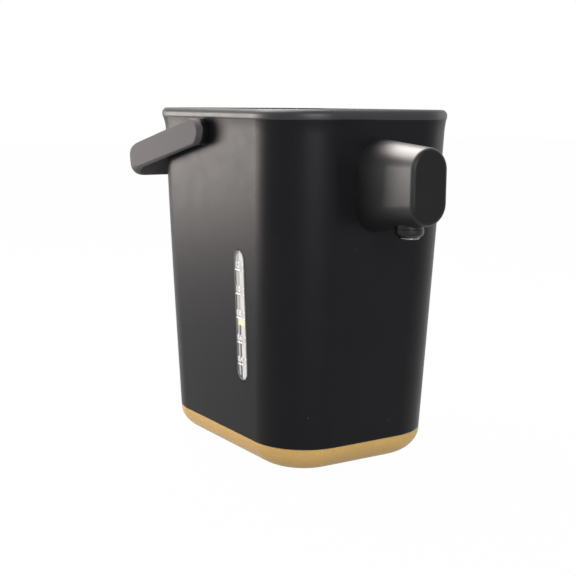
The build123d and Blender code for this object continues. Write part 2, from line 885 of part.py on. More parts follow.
scale_x = tube_x + hose_radius + scale_gap
scale_front_x = scale_x - scale_thickness / 2
with BuildPart() as gauge_scale:
    with BuildSketch(Plane.XY.offset(scale_low)):
        with Locations((scale_x, gauge_y)):
            Rectangle(scale_thickness, scale_width)
    extrude(amount=scale_high - scale_low)
    for z in (scale_low, scale_high - clip_height):
        with BuildSketch(Plane.XY.offset(z)):
            with Locations((tube_x, gauge_y)):
                Circle(tube_radius + clip_wall)
            with Locations(((tube_x + scale_front_x) / 2, gauge_y)):
                Rectangle(scale_front_x - tube_x, 2 * clip_wall)
            with Locations((tube_x, gauge_y)):
                Circle(tube_radius, mode=Mode.SUBTRACT)
        extrude(amount=clip_height)
save(gauge_scale, "gauge_scale")

with BuildPart() as spill_valve:
    with BuildSketch(Plane.XY.offset(valve_low)):
        with Locations((0, valve_y)):
            Circle(valve_radius)
    extrude(amount=valve_high - valve_low)
    with BuildSketch(Plane.YZ.offset(valve_port_x)):
        with Locations((valve_y, valve_inlet_z)):
            Circle(hose_bore)
    extrude(amount=-valve_port_x)
    with BuildSketch(Plane.XY.offset(valve_low + valve_wall)):
        with Locations((0, valve_y)):
            Circle(valve_radius - valve_wall)
    extrude(amount=valve_high - valve_low - 2 * valve_wall, mode=Mode.SUBTRACT)
    with BuildSketch(Plane.YZ.offset(valve_port_x)):
        with Locations((valve_y, valve_inlet_z)):
            Circle(nipple_bore)
    extrude(amount=-valve_port_x, mode=Mode.SUBTRACT)
    with BuildSketch(Plane.XZ.offset(-valve_y)):
        with Locations((0, pipe_z)):
            Circle(pipe_radius)
    extrude(amount=2 * valve_radius, mode=Mode.SUBTRACT)
save(spill_valve, "spill_valve")

with BuildPart() as valve_ball:
    with BuildSketch(Plane.XZ.offset(-valve_y)):
        with Locations((0, valve_low + valve_wall + ball_radius + seat_gap)):
            Circle(ball_radius)
            Rectangle(2 * ball_radius, 2 * ball_radius, align=(Align.MAX, Align.CENTER), mode=Mode.SUBTRACT)
    revolve(axis=Axis((0, valve_y, 0), (0, 0, 1)))
save(valve_ball, "valve_ball")

pipe_start_y = valve_y - valve_radius + valve_wall - seat_gap
pipe_route = FilletPolyline(
    (0, pipe_start_y, pipe_z), (0, nozzle_y, pipe_z), (0, nozzle_y, pipe_end_z), radius=pipe_bend
)
spout_pipe = swept_tube(pipe_route, pipe_radius, pipe_bore)
save(spout_pipe, "spout_pipe")

# ---------------------------------------------------------------- spout pod and nozzle
with BuildPart() as spout_cover:
    for y in (pod_base_y + pod_root, pod_face_y):
        width, length, middle = pod_section(y)
        with BuildSketch(Plane.XZ.offset(-y)):
            with Locations((0, middle)):
                SlotOverall(length, width, rotation=90)
    loft()
    fillet(spout_cover.faces().sort_by(Axis.Y)[0].edges(), pod_edge)
    for y in (pod_base_y + pod_root, pod_face_y + pod_wall):
        width, length, middle = pod_section(y, pod_wall)
        with BuildSketch(Plane.XZ.offset(-y)):
            with Locations((0, middle)):
                SlotOverall(length, width, rotation=90)
    loft(mode=Mode.SUBTRACT)
    with BuildSketch(Plane.XZ.offset(-(pod_base_y + pod_root))):
        with Locations((0, pod_screw_high), (0, pod_screw_low)):
            Circle(pod_boss_radius)
    extrude(amount=pod_root + pod_boss_length)
    with BuildSketch(Plane.XZ.offset(-(pod_base_y + pod_root))):
        with Locations((0, pod_screw_high), (0, pod_screw_low)):
            Circle(screw_radius)
    extrude(amount=pod_root + pod_boss_length - pod_wall, mode=Mode.SUBTRACT)
    with BuildSketch(Plane.XY.offset(nozzle_low)):
        with Locations((0, nozzle_y)):
            Circle(nozzle_radius)
    extrude(amount=nozzle_high - nozzle_low, mode=Mode.SUBTRACT)
    add(envelope.part, mode=Mode.SUBTRACT)
save(spout_cover, "spout_cover")

with BuildPart() as nozzle:
    with BuildSketch(Plane.XY.offset(nozzle_low)):
        with Locations((0, nozzle_y)):
            Circle(nozzle_radius)
    extrude(amount=nozzle_high - nozzle_low)
    fillet(nozzle.edges().group_by(Axis.Z)[0], nozzle_edge)
    with BuildSketch(Plane.XY.offset(nozzle_low)):
        with Locations((0, nozzle_y)):
            Circle(lip_bore)
    extrude(amount=nozzle_high - nozzle_low, mode=Mode.SUBTRACT)
    with BuildSketch(Plane.XY.offset(pipe_end_z)):
        with Locations((0, nozzle_y)):
            Circle(pipe_radius)
    extrude(amount=nozzle_high - pipe_end_z, mode=Mode.SUBTRACT)
save(nozzle, "nozzle")

with BuildPart() as nozzle_lip:
    with BuildSketch(Plane.XY.offset(nozzle_low - lip_height)):
        with Locations((0, nozzle_y)):
            Circle(lip_radius)
            Circle(lip_bore, mode=Mode.SUBTRACT)
    extrude(amount=lip_height)
save(nozzle_lip, "nozzle_lip")

# ---------------------------------------------------------------- handle and its pivots
grip_end = grip_reach + handle_corner
with BuildPart() as handle:
    with BuildSketch(handle_plane.offset(-grip_low)):
        with BuildLine():
            FilletPolyline(
                (-handle_outer_x, -arm_width / 2),
                (-handle_outer_x, grip_reach),
                (handle_outer_x, grip_reach),
                (handle_outer_x, -arm_width / 2),
                radius=(0, handle_corner, handle_corner, 0),
                close=True,
            )
        make_face()
        with BuildLine():
            FilletPolyline(
                (-arm_inner_x, -arm_width),
                (-arm_inner_x, grip_reach - grip_thickness),
                (arm_inner_x, grip_reach - grip_thickness),
                (arm_inner_x, -arm_width),
                radius=(0, handle_inner_corner, handle_inner_corner, 0),
                close=True,
            )
        make_face(mode=Mode.SUBTRACT)
    extrude(amount=grip_low + arm_width / 2)
    with BuildSketch(handle_side):
        with BuildLine():
            Line((0, arm_width / 2), (grip_end, arm_width / 2))
            Line((grip_end, arm_width / 2), (grip_end, -grip_low))
            FilletPolyline(
                (grip_end, -grip_low),
                (grip_blend_end, -grip_low),
                (grip_blend_start, -arm_width / 2),
                (0, -arm_width / 2),
                radius=grip_blend_radius,
            )
            ThreePointArc((0, -arm_width / 2), (-arm_width / 2, 0), (0, arm_width / 2))
        make_face()
    extrude(amount=top_width, both=True, mode=Mode.INTERSECT)
    fillet(handle.edges(), handle_edge)
    for side in (-1, 1):
        with BuildSketch(Plane.YZ.offset(side * arm_inner_x)):
            with Locations((pivot_y, pivot_z)):
                Circle(pin_radius + running_gap)
        extrude(amount=side * (pin_depth + seat_gap), mode=Mode.SUBTRACT)
save(handle, "handle")

with BuildPart() as pivot_bosses:
    for side in (-1, 1):
        with BuildSketch(Plane.YZ.offset(side * boss_outer_x)):
            with Locations((pivot_y, pivot_z)):
                Circle(boss_width / 2)
                Circle(pin_radius, mode=Mode.SUBTRACT)
        extrude(amount=-side * (boss_outer_x - half_width(pivot_z) + wall))
    add(envelope.part, mode=Mode.SUBTRACT)
save(pivot_bosses, "pivot_bosses")

pin_head_x = half_width(pivot_z - pin_head_radius) - wall
with BuildPart() as pivot_pins:
    for side in (-1, 1):
        with BuildSketch(Plane.YZ.offset(side * (pin_head_x - pin_head_thickness))):
            with Locations((pivot_y, pivot_z)):
                Circle(pin_head_radius)
        extrude(amount=side * pin_head_thickness)
        with BuildSketch(Plane.YZ.offset(side * (pin_head_x - pin_head_thickness))):
            with Locations((pivot_y, pivot_z)):
                Circle(pin_radius)
        extrude(amount=side * (arm_inner_x + pin_depth - pin_head_x + pin_head_thickness))
save(pivot_pins, "pivot_pins")

# ---------------------------------------------------------------- top collar
barrel_half = barrel_length / 2 + moving_gap
panel_screw_spots = [
    (x, y) for x in (-panel_screw_x, panel_screw_x) for y in (panel_screw_front, panel_screw_rear)
]
with BuildPart() as top_collar:
    with BuildSketch(Plane.XY.offset(rim_z)):
        outline(rim_z)
    extrude(amount=rim_height)
    fillet(top_collar.faces().sort_by(Axis.Z)[-1].edges(), rim_edge)
    with BuildSketch(Plane.XY.offset(deck_z)):
        outline(deck_z, wall + seat_gap)
    extrude(amount=deck_thickness)
    with BuildSketch(Plane.XY.offset(rim_z)):
        outline(rim_z, rim_width)
        rear_part(split_y, lid_rear_y + lid_rear_gap)
    extrude(amount=rim_height, mode=Mode.SUBTRACT)
    with BuildSketch(Plane.XY.offset(panel_low)):
        outline(rim_z, rim_width)
        rear_part(-top_depth, split_y)
    extrude(amount=rim_height, mode=Mode.SUBTRACT)
    with BuildSketch(Plane.YZ):
        with Locations((hinge_y, hinge_z)):
            Circle(barrel_radius + moving_gap)
            Rectangle(
                2 * (barrel_radius + moving_gap), rim_height, align=(Align.CENTER, Align.MIN)
            )
    extrude(amount=barrel_half, both=True, mode=Mode.SUBTRACT)
    with BuildSketch(Plane.YZ):
        with Locations((hinge_y, hinge_z)):
            Circle(hinge_pin_radius)
    extrude(amount=hinge_pin_length / 2, both=True, mode=Mode.SUBTRACT)
    with BuildSketch(Plane.XY.offset(deck_z)):
        with Locations((0, container_y)):
            Circle(neck_radius + mouth_clearance)
    extrude(amount=deck_thickness, mode=Mode.SUBTRACT)
    with BuildSketch(Plane.XY.offset(deck_z)):
        with Locations((0, (panel_pocket_front + panel_pocket_rear) / 2)):
            Rectangle(panel_pocket_width, panel_pocket_rear - panel_pocket_front)
    extrude(amount=height - deck_z, mode=Mode.SUBTRACT)
    with BuildSketch(Plane.XZ.offset(-split_y)):
        with Locations((0, latch_low + latch_thickness / 2)):
            Rectangle(latch_width + 2 * moving_gap, latch_thickness + 2 * latch_gap)
    extrude(amount=latch_engagement + moving_gap, mode=Mode.SUBTRACT)
    with BuildSketch(Plane.XY.offset(board_top)):
        with Locations(*panel_screw_spots):
            Circle(panel_boss_radius)
    extrude(amount=deck_z - board_top)
    with BuildSketch(Plane.XY.offset(board_top)):
        with Locations(*panel_screw_spots):
            Circle(screw_radius)
    extrude(amount=panel_screw_length - board_thickness, mode=Mode.SUBTRACT)
save(top_collar, "top_collar")

with BuildPart() as lid_hinge_pin:
    with BuildSketch(Plane.YZ):
        with Locations((hinge_y, hinge_z)):
            Circle(hinge_pin_radius)
    extrude(amount=hinge_pin_length / 2, both=True)
save(lid_hinge_pin, "lid_hinge_pin")

# ---------------------------------------------------------------- control panel
buttons = {
    "keep_warm_button": keep_warm_x,
    "reboil_button": reboil_share * top_width,
    "dispense_button": dispense_share * top_width,
    "unlock_button": unlock_share * top_width,
}
button_places = [(x, button_y) for x in buttons.values()]


def button_outline(name, grow=0.0):
    """Adds a button's outline to the open sketch, grown by a margin."""
    with Locations((buttons[name], button_y)):
        if name == "dispense_button":
            return SlotOverall(dispense_length + 2 * grow, 2 * (button_radius + grow))
        return Circle(button_radius + grow)


with BuildPart() as control_panel:
    with BuildSketch(Plane.XY.offset(panel_low)):
        outline(rim_z, rim_width + seat_gap)
        rear_part(-top_depth, split_y - seat_gap)
    extrude(amount=panel_thickness)
    with BuildSketch(Plane.XY.offset(panel_low)):
        for name in buttons:
            button_outline(name, moving_gap)
    extrude(amount=panel_thickness, mode=Mode.SUBTRACT)
    with BuildSketch(Plane.XY.offset(panel_low)):
        with Locations((0, split_y)):
            Circle(scoop_radius)
    extrude(amount=panel_thickness, mode=Mode.SUBTRACT)
    with BuildSketch(Plane.XY.offset(panel_top - lens_thickness)):
        with Locations((0, lens_y)):
            Rectangle(lens_width, lens_depth)
    extrude(amount=lens_thickness, mode=Mode.SUBTRACT)
    with BuildSketch(Plane.XY.offset(panel_low)):
        with Locations((0, lens_y)):
            Rectangle(lens_width - 2 * display_margin, lens_depth - 2 * display_margin)
    extrude(amount=panel_thickness, mode=Mode.SUBTRACT)
save(control_panel, "control_panel")

with BuildPart() as display_lens:
    with BuildSketch(Plane.XY.offset(panel_top - lens_thickness)):
        with Locations((0, lens_y)):
            Rectangle(lens_width - 2 * seat_gap, lens_depth - 2 * seat_gap)
    extrude(amount=lens_thickness)
save(display_lens, "display_lens")

with BuildPart() as panel_board:
    with BuildSketch(Plane.XY.offset(board_low)):
        with Locations((0, (panel_pocket_front + panel_pocket_rear) / 2)):
            Rectangle(panel_board_width, panel_pocket_rear - panel_pocket_front)
        with Locations(*panel_screw_spots):
            Circle(screw_radius, mode=Mode.SUBTRACT)
    extrude(amount=board_thickness)
save(panel_board, "panel_board")

with BuildPart() as panel_components:
    with BuildSketch(Plane.XY.offset(board_top)):
        with Locations(*button_places):
            Rectangle(switch_size, switch_size)
    extrude(amount=switch_height)
    with BuildSketch(Plane.XY.offset(board_top)):
        with Locations((0, lens_y)):
            Rectangle(lens_width - 4 * display_margin, lens_depth - 4 * display_margin)
    extrude(amount=panel_top - lens_thickness - board_top)
save(panel_components, "panel_components")

# Each set: the plane under its heads, its places, the shank's and the head's radius, the length
case_screw_sets = [
    (Plane.XY.offset(base_lift), base_screw_spots, screw_radius, screw_head_radius, base_screw_length),
    (
        Plane.XY.offset(pump_z - screw_head_height),
        pump_screw_spots,
        pump_screw_radius,
        pump_screw_head,
        pump_cover_z + pump_cover_thickness - pump_z + screw_head_height,
    ),
    (
        Plane.XY.offset(board_low - screw_head_height),
        panel_screw_spots,
        screw_radius,
        screw_head_radius,
        panel_screw_length + screw_head_height,
    ),
]
for z in (pod_screw_high, pod_screw_low):
    head_plane = Plane.XZ.offset(half_depth(z - screw_head_radius) - wall - screw_head_height)
    case_screw_sets.append(
        (head_plane, [(0, z)], screw_radius, screw_head_radius, pod_screw_length)
    )
with BuildPart() as case_screws:
    for plane, spots, shank, head, length in case_screw_sets:
        with BuildSketch(plane):
            with Locations(*spots):
                Circle(head)
        extrude(amount=screw_head_height)
        with BuildSketch(plane):
            with Locations(*spots):
                Circle(shank)
        extrude(amount=length)
save(case_screws, "case_screws")

stem_low = board_top + switch_height + button_travel + switch_margin
flange_low = panel_low - moving_gap - button_flange_thickness
for name, x in buttons.items():
    with BuildPart() as button:
        with BuildSketch(Plane.XY.offset(flange_low)):
            button_outline(name, button_flange)
        extrude(amount=button_flange_thickness)
        with BuildSketch(Plane.XY.offset(flange_low)):
            button_outline(name)
        extrude(amount=panel_top + button_proud - flange_low)
        fillet(button.faces().sort_by(Axis.Z)[-1].edges(), button_proud)
        with BuildSketch(Plane.XY.offset(stem_low)):
            with Locations((x, button_y)):
                Circle(button_stem_radius)
        extrude(amount=flange_low - stem_low)
    save(button, name)

# ---------------------------------------------------------------- lid
lever_side = lever_width / 2 + moving_gap
pocket_rear = lever_rear_y + lever_barrel + moving_gap
lid_screw_spots = [
    (lid_screw_ring * cos(radians(a)), container_y + lid_screw_ring * sin(radians(a)))
    for a in screw_angles
]
with BuildPart() as lid_cover:
    with BuildSketch(Plane.XY.offset(lid_low)):
        outline(rim_z, rim_width + moving_gap)
        rear_part(split_y + moving_gap, lid_rear_y)
    extrude(amount=lid_top - lid_low)
    fillet(lid_cover.edges().filter_by(Axis.Z).group_by(Axis.Y)[-1], lid_rear_corner)
    fillet(lid_cover.faces().sort_by(Axis.Z)[-1].edges(), lid_edge)
    with BuildSketch(Plane.XY.offset(lid_low)):
        with Locations((0, (hinge_y + lid_rear_y - lid_edge) / 2)):
            Rectangle(barrel_length, hinge_y - lid_rear_y + lid_edge)
    extrude(amount=lid_top - lid_low)
    with BuildSketch(Plane.YZ):
        with Locations((hinge_y, hinge_z)):
            Circle(barrel_radius)
    extrude(amount=barrel_length / 2, both=True)
    with BuildSketch(Plane.YZ):
        with Locations((hinge_y, hinge_z)):
            Circle(hinge_pin_radius + running_gap)
    extrude(amount=barrel_length / 2, both=True, mode=Mode.SUBTRACT)
    with BuildSketch(Plane.XY.offset(pocket_floor_z)):
        with Locations((0, (split_y + pocket_rear) / 2)):
            Rectangle(2 * lever_side, pocket_rear - split_y)
    extrude(amount=lid_top - pocket_floor_z, mode=Mode.SUBTRACT)
    with BuildSketch(Plane.YZ):
        with Locations((lever_rear_y, lever_axis_z)):
            Circle(lever_pin_radius)
    extrude(amount=lever_pin_length / 2, both=True, mode=Mode.SUBTRACT)
    with BuildSketch(Plane.XY.offset(lid_low)):
        with Locations((0, vent_y)):
            Circle(vent_tube_radius)
    extrude(amount=lid_top - lid_low, mode=Mode.SUBTRACT)
    with BuildSketch(Plane.XY.offset(vent_cap_z)):
        with Locations((0, vent_y)):
            Circle(vent_radius + seat_gap)
    extrude(amount=vent_cap_thickness, mode=Mode.SUBTRACT)
    with BuildSketch(Plane.XY.offset(lid_low)):
        with Locations(*lid_screw_spots):
            Circle(lid_screw_radius)
    extrude(amount=lid_screw_length, mode=Mode.SUBTRACT)
save(lid_cover, "lid_cover")

with BuildPart() as lid_base:
    with BuildSketch(Plane.XY.offset(plug_low)):
        with Locations((0, container_y)):
            Circle(plug_radius)
    extrude(amount=lid_low - plug_low)
    with BuildSketch(Plane.XY.offset(plug_flange_z)):
        with Locations((0, container_y)):
            Circle(plug_radius + plug_flange)
    extrude(amount=plug_flange_thickness)
    with BuildSketch(Plane.XY.offset(plug_low)):
        with Locations((0, container_y)):
            Circle(plug_radius - plug_wall)
    extrude(amount=lid_low - insulation_top - plug_low, mode=Mode.SUBTRACT)
    with BuildSketch(Plane.XY.offset(plug_low - inner_plate_thickness)):
        with Locations((0, vent_y)):
            Circle(vent_tube_radius)
    extrude(amount=vent_cap_z - plug_low + inner_plate_thickness)
    with BuildSketch(Plane.XY.offset(plug_low - inner_plate_thickness)):
        with Locations((0, vent_y)):
            Circle(vent_tube_bore)
    extrude(amount=vent_cap_z - plug_low + inner_plate_thickness, mode=Mode.SUBTRACT)
    with BuildSketch(Plane.XY.offset(plug_flange_z)):
        with Locations(*lid_screw_spots):
            Circle(lid_screw_radius)
    extrude(amount=plug_flange_thickness, mode=Mode.SUBTRACT)
    with BuildSketch(Plane.XY.offset(plug_flange_z)):
        with Locations(*lid_screw_spots):
            Circle(lid_screw_head)
    extrude(amount=screw_head_height, mode=Mode.SUBTRACT)
save(lid_base, "lid_base")

with BuildPart() as lid_screws:
    with BuildSketch(Plane.XY.offset(plug_flange_z)):
        with Locations(*lid_screw_spots):
            Circle(lid_screw_head)
    extrude(amount=screw_head_height)
    with BuildSketch(Plane.XY.offset(plug_flange_z)):
        with Locations(*lid_screw_spots):
            Circle(lid_screw_radius)
    extrude(amount=plug_flange_thickness + lid_screw_length)
save(lid_screws, "lid_screws")

with BuildPart() as lid_inner_plate:
    with BuildSketch(Plane.XY.offset(plug_low - inner_plate_thickness)):
        with Locations((0, container_y)):
            Circle(plug_radius)
        with Locations((0, vent_y)):
            Circle(vent_tube_radius, mode=Mode.SUBTRACT)
    extrude(amount=inner_plate_thickness)
save(lid_inner_plate, "lid_inner_plate")

with BuildPart() as lid_gasket:
    with BuildSketch(Plane.XY.offset(plug_flange_z - lid_gasket_thickness)):
        with Locations((0, container_y)):
            Circle(plug_radius + lid_gasket_reach)
            Circle(plug_radius, mode=Mode.SUBTRACT)
    extrude(amount=lid_gasket_thickness)
save(lid_gasket, "lid_gasket")

with BuildPart() as lid_insulation:
    with BuildSketch(Plane.XY.offset(plug_low)):
        with Locations((0, container_y)):
            Circle(plug_radius - plug_wall - insulation_gap)
        with Locations((0, vent_y)):
            Circle(vent_tube_radius, mode=Mode.SUBTRACT)
    extrude(amount=lid_low - insulation_top - plug_low)
save(lid_insulation, "lid_insulation")

with BuildPart() as steam_vent_cap:
    with BuildSketch(Plane.XY.offset(vent_cap_z)):
        with Locations((0, vent_y)):
            Circle(vent_radius)
    extrude(amount=vent_cap_thickness)
    with BuildSketch(Plane.XY.offset(vent_cap_z)):
        with Locations((0, vent_y)):
            with GridLocations(0, vent_slot_pitch, 1, vent_slots):
                SlotOverall(vent_radius, vent_slot_width)
    extrude(amount=vent_cap_thickness, mode=Mode.SUBTRACT)
save(steam_vent_cap, "steam_vent_cap")

with BuildPart() as lid_lever:
    with BuildSketch(Plane.XY.offset(lever_low)):
        with Locations((0, (split_y + moving_gap + lever_rear_y) / 2)):
            Rectangle(lever_width, lever_rear_y - split_y - moving_gap)
    extrude(amount=lever_thickness)
    with BuildSketch(Plane.YZ):
        with Locations((lever_rear_y, lever_axis_z)):
            Circle(lever_barrel)
    extrude(amount=lever_width / 2, both=True)
    with BuildSketch(Plane.YZ):
        with Locations((lever_rear_y, lever_axis_z)):
            Circle(lever_barrel + moving_gap)
    extrude(amount=spring_gap_width / 2, both=True, mode=Mode.SUBTRACT)
    with BuildSketch(Plane.YZ):
        with Locations((lever_rear_y, lever_axis_z)):
            Circle(lever_pin_radius + running_gap)
    extrude(amount=lever_width, both=True, mode=Mode.SUBTRACT)
save(lid_lever, "lid_lever")

with BuildPart() as lever_pin:
    with BuildSketch(Plane.YZ):
        with Locations((lever_rear_y, lever_axis_z)):
            Circle(lever_pin_radius)
    extrude(amount=lever_pin_length / 2, both=True)
save(lever_pin, "lever_pin")

spring_radius = lever_pin_radius + running_gap + spring_wire
with BuildPart() as lever_spring:
    with BuildLine() as coil:
        Helix(
            pitch=spring_length / spring_turns,
            height=spring_length,
            radius=spring_radius,
            center=(-spring_length / 2, lever_rear_y, lever_axis_z),
            direction=(1, 0, 0),
        )
    with BuildSketch(Plane(origin=coil.line @ 0, z_dir=coil.line % 0)):
        Circle(spring_wire)
    sweep(is_frenet=True)
save(lever_spring, "lever_spring")

with BuildPart() as lid_latch:
    with BuildSketch(Plane.XY.offset(latch_low)):
        with Locations((0, (latch_front_y + latch_rear_y) / 2)):
            Rectangle(latch_width, latch_rear_y - latch_front_y)
    extrude(amount=latch_thickness)
save(lid_latch, "lid_latch")

# ---------------------------------------------------------------- power inlet and board
inlet_rear_y = half_depth(inlet_z) + inlet_proud
with BuildPart() as power_inlet:
    with BuildSketch(Plane.XZ.offset(-inlet_rear_y)):
        with Locations((0, inlet_z)):
            RectangleRounded(
                inlet_width - 2 * seat_gap, inlet_height - 2 * seat_gap, inlet_corner - seat_gap
            )
    extrude(amount=inlet_length)
    with BuildSketch(Plane.XZ.offset(-inlet_rear_y)):
        with Locations((0, inlet_z)):
            Rectangle(inlet_width - 2 * inlet_wall, inlet_height - 2 * inlet_wall)
    extrude(amount=inlet_depth, mode=Mode.SUBTRACT)
save(power_inlet, "power_inlet")

socket_y = inlet_rear_y - inlet_depth
with BuildPart() as inlet_pins:
    with BuildSketch(Plane.XZ.offset(-socket_y)):
        with Locations((-inlet_pin_x, inlet_z), (inlet_pin_x, inlet_z)):
            Circle(inlet_pin_radius)
    extrude(amount=-inlet_pin_length)
    with BuildSketch(Plane.XZ.offset(-socket_y)):
        with Locations((0, inlet_z)):
            Rectangle(keeper_width, keeper_height)
    extrude(amount=-keeper_thickness)
save(inlet_pins, "inlet_pins")

with BuildPart() as power_board:
    with BuildSketch(Plane.XZ.offset(-board_rear_y)):
        with Locations((power_board_x, (power_board_low + power_board_high) / 2)):
            Rectangle(power_board_width, power_board_high - power_board_low)
    extrude(amount=board_thickness)
save(power_board, "power_board")

board_left = power_board_x - power_board_width / 2
board_middle = (power_board_low + power_board_high) / 2
transformer_x = board_left + component_margin + transformer_size / 2
transformer_z = power_board_low + component_margin + transformer_size / 2
capacitor_x = board_left + component_margin + capacitor_radius
capacitor_z = power_board_high - component_margin - capacitor_radius
relay_x = board_left + relay_shift + relay_size / 2
with BuildPart() as board_components:
    with BuildSketch(Plane.XZ.offset(-power_board_y)):
        with Locations((transformer_x, transformer_z)):
            Rectangle(transformer_size, transformer_size)
    extrude(amount=transformer_height)
    with BuildSketch(Plane.XZ.offset(-power_board_y)):
        with Locations((capacitor_x, capacitor_z)):
            Circle(capacitor_radius)
    extrude(amount=capacitor_height)
    with BuildSketch(Plane.XZ.offset(-power_board_y)):
        with Locations((relay_x, board_middle + relay_shift)):
            Rectangle(relay_size, relay_size)
    extrude(amount=relay_height)
    with BuildSketch(Plane.XZ.offset(-power_board_y)):
        with Locations((board_left + power_board_width - sink_inset, power_board_high - sink_height)):
            with GridLocations(2 * sink_thickness, 0, sink_fins, 1):
                Rectangle(sink_thickness, sink_height)
    extrude(amount=sink_depth)
save(board_components, "board_components")
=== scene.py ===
"""Electric thermo pot: the shells, trims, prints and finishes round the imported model, and a studio.

Run as a script. Metres. +Z is up, the spout points along -Y and the water gauge is on the -X side.
"""

import json
from collections import namedtuple
from math import cos, pi, radians, sin

import bmesh
import bpy
from mathutils import Matrix, Quaternion, Vector


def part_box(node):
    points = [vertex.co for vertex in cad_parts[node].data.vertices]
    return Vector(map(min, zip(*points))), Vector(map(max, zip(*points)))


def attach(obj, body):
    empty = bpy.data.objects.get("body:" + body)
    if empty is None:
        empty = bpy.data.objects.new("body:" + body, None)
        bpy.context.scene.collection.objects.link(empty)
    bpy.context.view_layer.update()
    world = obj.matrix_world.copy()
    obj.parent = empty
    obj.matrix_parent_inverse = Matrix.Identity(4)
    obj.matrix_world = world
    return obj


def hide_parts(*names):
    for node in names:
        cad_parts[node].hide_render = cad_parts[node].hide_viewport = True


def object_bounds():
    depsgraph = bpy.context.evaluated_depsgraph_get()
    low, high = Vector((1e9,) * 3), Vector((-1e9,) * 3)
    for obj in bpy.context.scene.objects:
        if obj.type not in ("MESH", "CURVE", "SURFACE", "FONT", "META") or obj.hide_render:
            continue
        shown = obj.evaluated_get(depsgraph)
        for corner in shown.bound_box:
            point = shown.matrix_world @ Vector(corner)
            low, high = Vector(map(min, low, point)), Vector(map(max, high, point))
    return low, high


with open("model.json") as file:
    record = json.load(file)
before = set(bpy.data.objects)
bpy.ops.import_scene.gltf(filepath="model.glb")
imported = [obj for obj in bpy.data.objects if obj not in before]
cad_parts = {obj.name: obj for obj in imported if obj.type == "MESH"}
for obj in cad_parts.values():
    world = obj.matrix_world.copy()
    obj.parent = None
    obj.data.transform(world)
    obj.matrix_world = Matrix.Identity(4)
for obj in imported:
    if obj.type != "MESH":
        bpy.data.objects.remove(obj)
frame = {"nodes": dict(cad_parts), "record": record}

bl_info = {
    "name": "Electric Thermo Pot",
    "version": (1, 0, 0),
    "blender": (4, 5, 0),
    "location": "View3D > Sidebar > Thermo Pot",
    "description": "Dresses an electric thermo pot and sets up its studio",
    "category": "Add Mesh",
}

CAD_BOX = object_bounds()
MM = 0.001
CORNER_STEPS = 20  # segments in a round corner of the body
TURN_STEPS = 64  # segments in a turned piece
UPRIGHT = Matrix.Rotation(radians(90), 4, "X")  # local height points along -Y, local y along +Z
OVERLAP = 3 * MM  # how far a piece on the wall starts inside it
PRINT_DEPTH = 0.05 * MM  # how far print stands to each side of its height
PRINT_SPREAD = 0.10 * MM  # how much the digits are thickened
DIGIT_SHARE = 0.7  # height of a digit as a share of its font's size
SENSOR_WIDTH = 36  # of the camera, in millimetres


# --- places read from the frame
def centre(node):
    """The middle of a node's box."""
    low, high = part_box(node)
    return (low + high) / 2


SHELL_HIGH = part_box("outer_shell")[1]
BASE_LOW, BASE_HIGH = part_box("base_skirt")
SEAM_Z, RIM_Z = BASE_HIGH.z, SHELL_HIGH.z
TOP_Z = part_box("top_collar")[1].z
SIDE_DRAFT = (SHELL_HIGH.x - BASE_HIGH.x) / (RIM_Z - SEAM_Z)
FRONT_DRAFT = (SHELL_HIGH.y - BASE_HIGH.y) / (RIM_Z - SEAM_Z)
POD_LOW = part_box("spout_cover")[0]
GAUGE_CENTRE = centre("gauge_window")
GAUGE_LEVEL_Z = 103.6 * MM  # the water level, where the pale band is drawn


# --- settings
class ThermoPotSizes(bpy.types.PropertyGroup):
    """Sizes of the dressed pieces."""

    top_corner: bpy.props.FloatProperty(
        name="Top corner", description="Radius of the body's upright corners at the rim",
        default=0.0408, min=0.01, max=0.07, unit="LENGTH",
    )
    seam_corner: bpy.props.FloatProperty(
        name="Seam corner", description="Radius of the body's upright corners at the base seam",
        default=0.0397, min=0.01, max=0.07, unit="LENGTH",
    )
    wall: bpy.props.FloatProperty(
        name="Wall", description="Thickness of the outer shell and of the base",
        default=0.0025, min=0.001, max=0.005, unit="LENGTH",
    )
    base_inset: bpy.props.FloatProperty(
        name="Base inset", description="How far the curved base comes in at the bottom",
        default=0.0234, min=0.005, max=0.035, unit="LENGTH",
    )
    edge: bpy.props.FloatProperty(
        name="Edge", description="Rounding of the edges that meet at the seams",
        default=0.0005, min=0.0001, max=0.002, unit="LENGTH",
    )
    flare: bpy.props.FloatProperty(
        name="Flare", description="How far the shell widens just under the rim",
        default=0.0006, min=0.0, max=0.003, unit="LENGTH",
    )
    rear_flare: bpy.props.FloatProperty(
        name="Rear flare", description="How much further the shell widens there at the rear",
        default=0.0022, min=0.0, max=0.004, unit="LENGTH",
    )
    rim_edge: bpy.props.FloatProperty(
        name="Rim edge", description="Rounding of the rim band's upper edge",
        default=0.0040, min=0.001, max=0.006, unit="LENGTH",
    )
    digit_height: bpy.props.FloatProperty(
        name="Digit height", description="Height of the numbers on the water gauge",
        default=0.0041, min=0.002, max=0.008, unit="LENGTH",
    )
    pod_edge: bpy.props.FloatProperty(
        name="Pod edge", description="Rounding of the spout cover's front edge",
        default=0.0030, min=0.0005, max=0.006, unit="LENGTH",
    )
    grip_round: bpy.props.FloatVectorProperty(
        name="Grip rounding", description="Rounding of the grip's outer edges, across and upright",
        size=2, default=(0.0070, 0.0100), min=0.001, max=0.011, unit="LENGTH",
    )


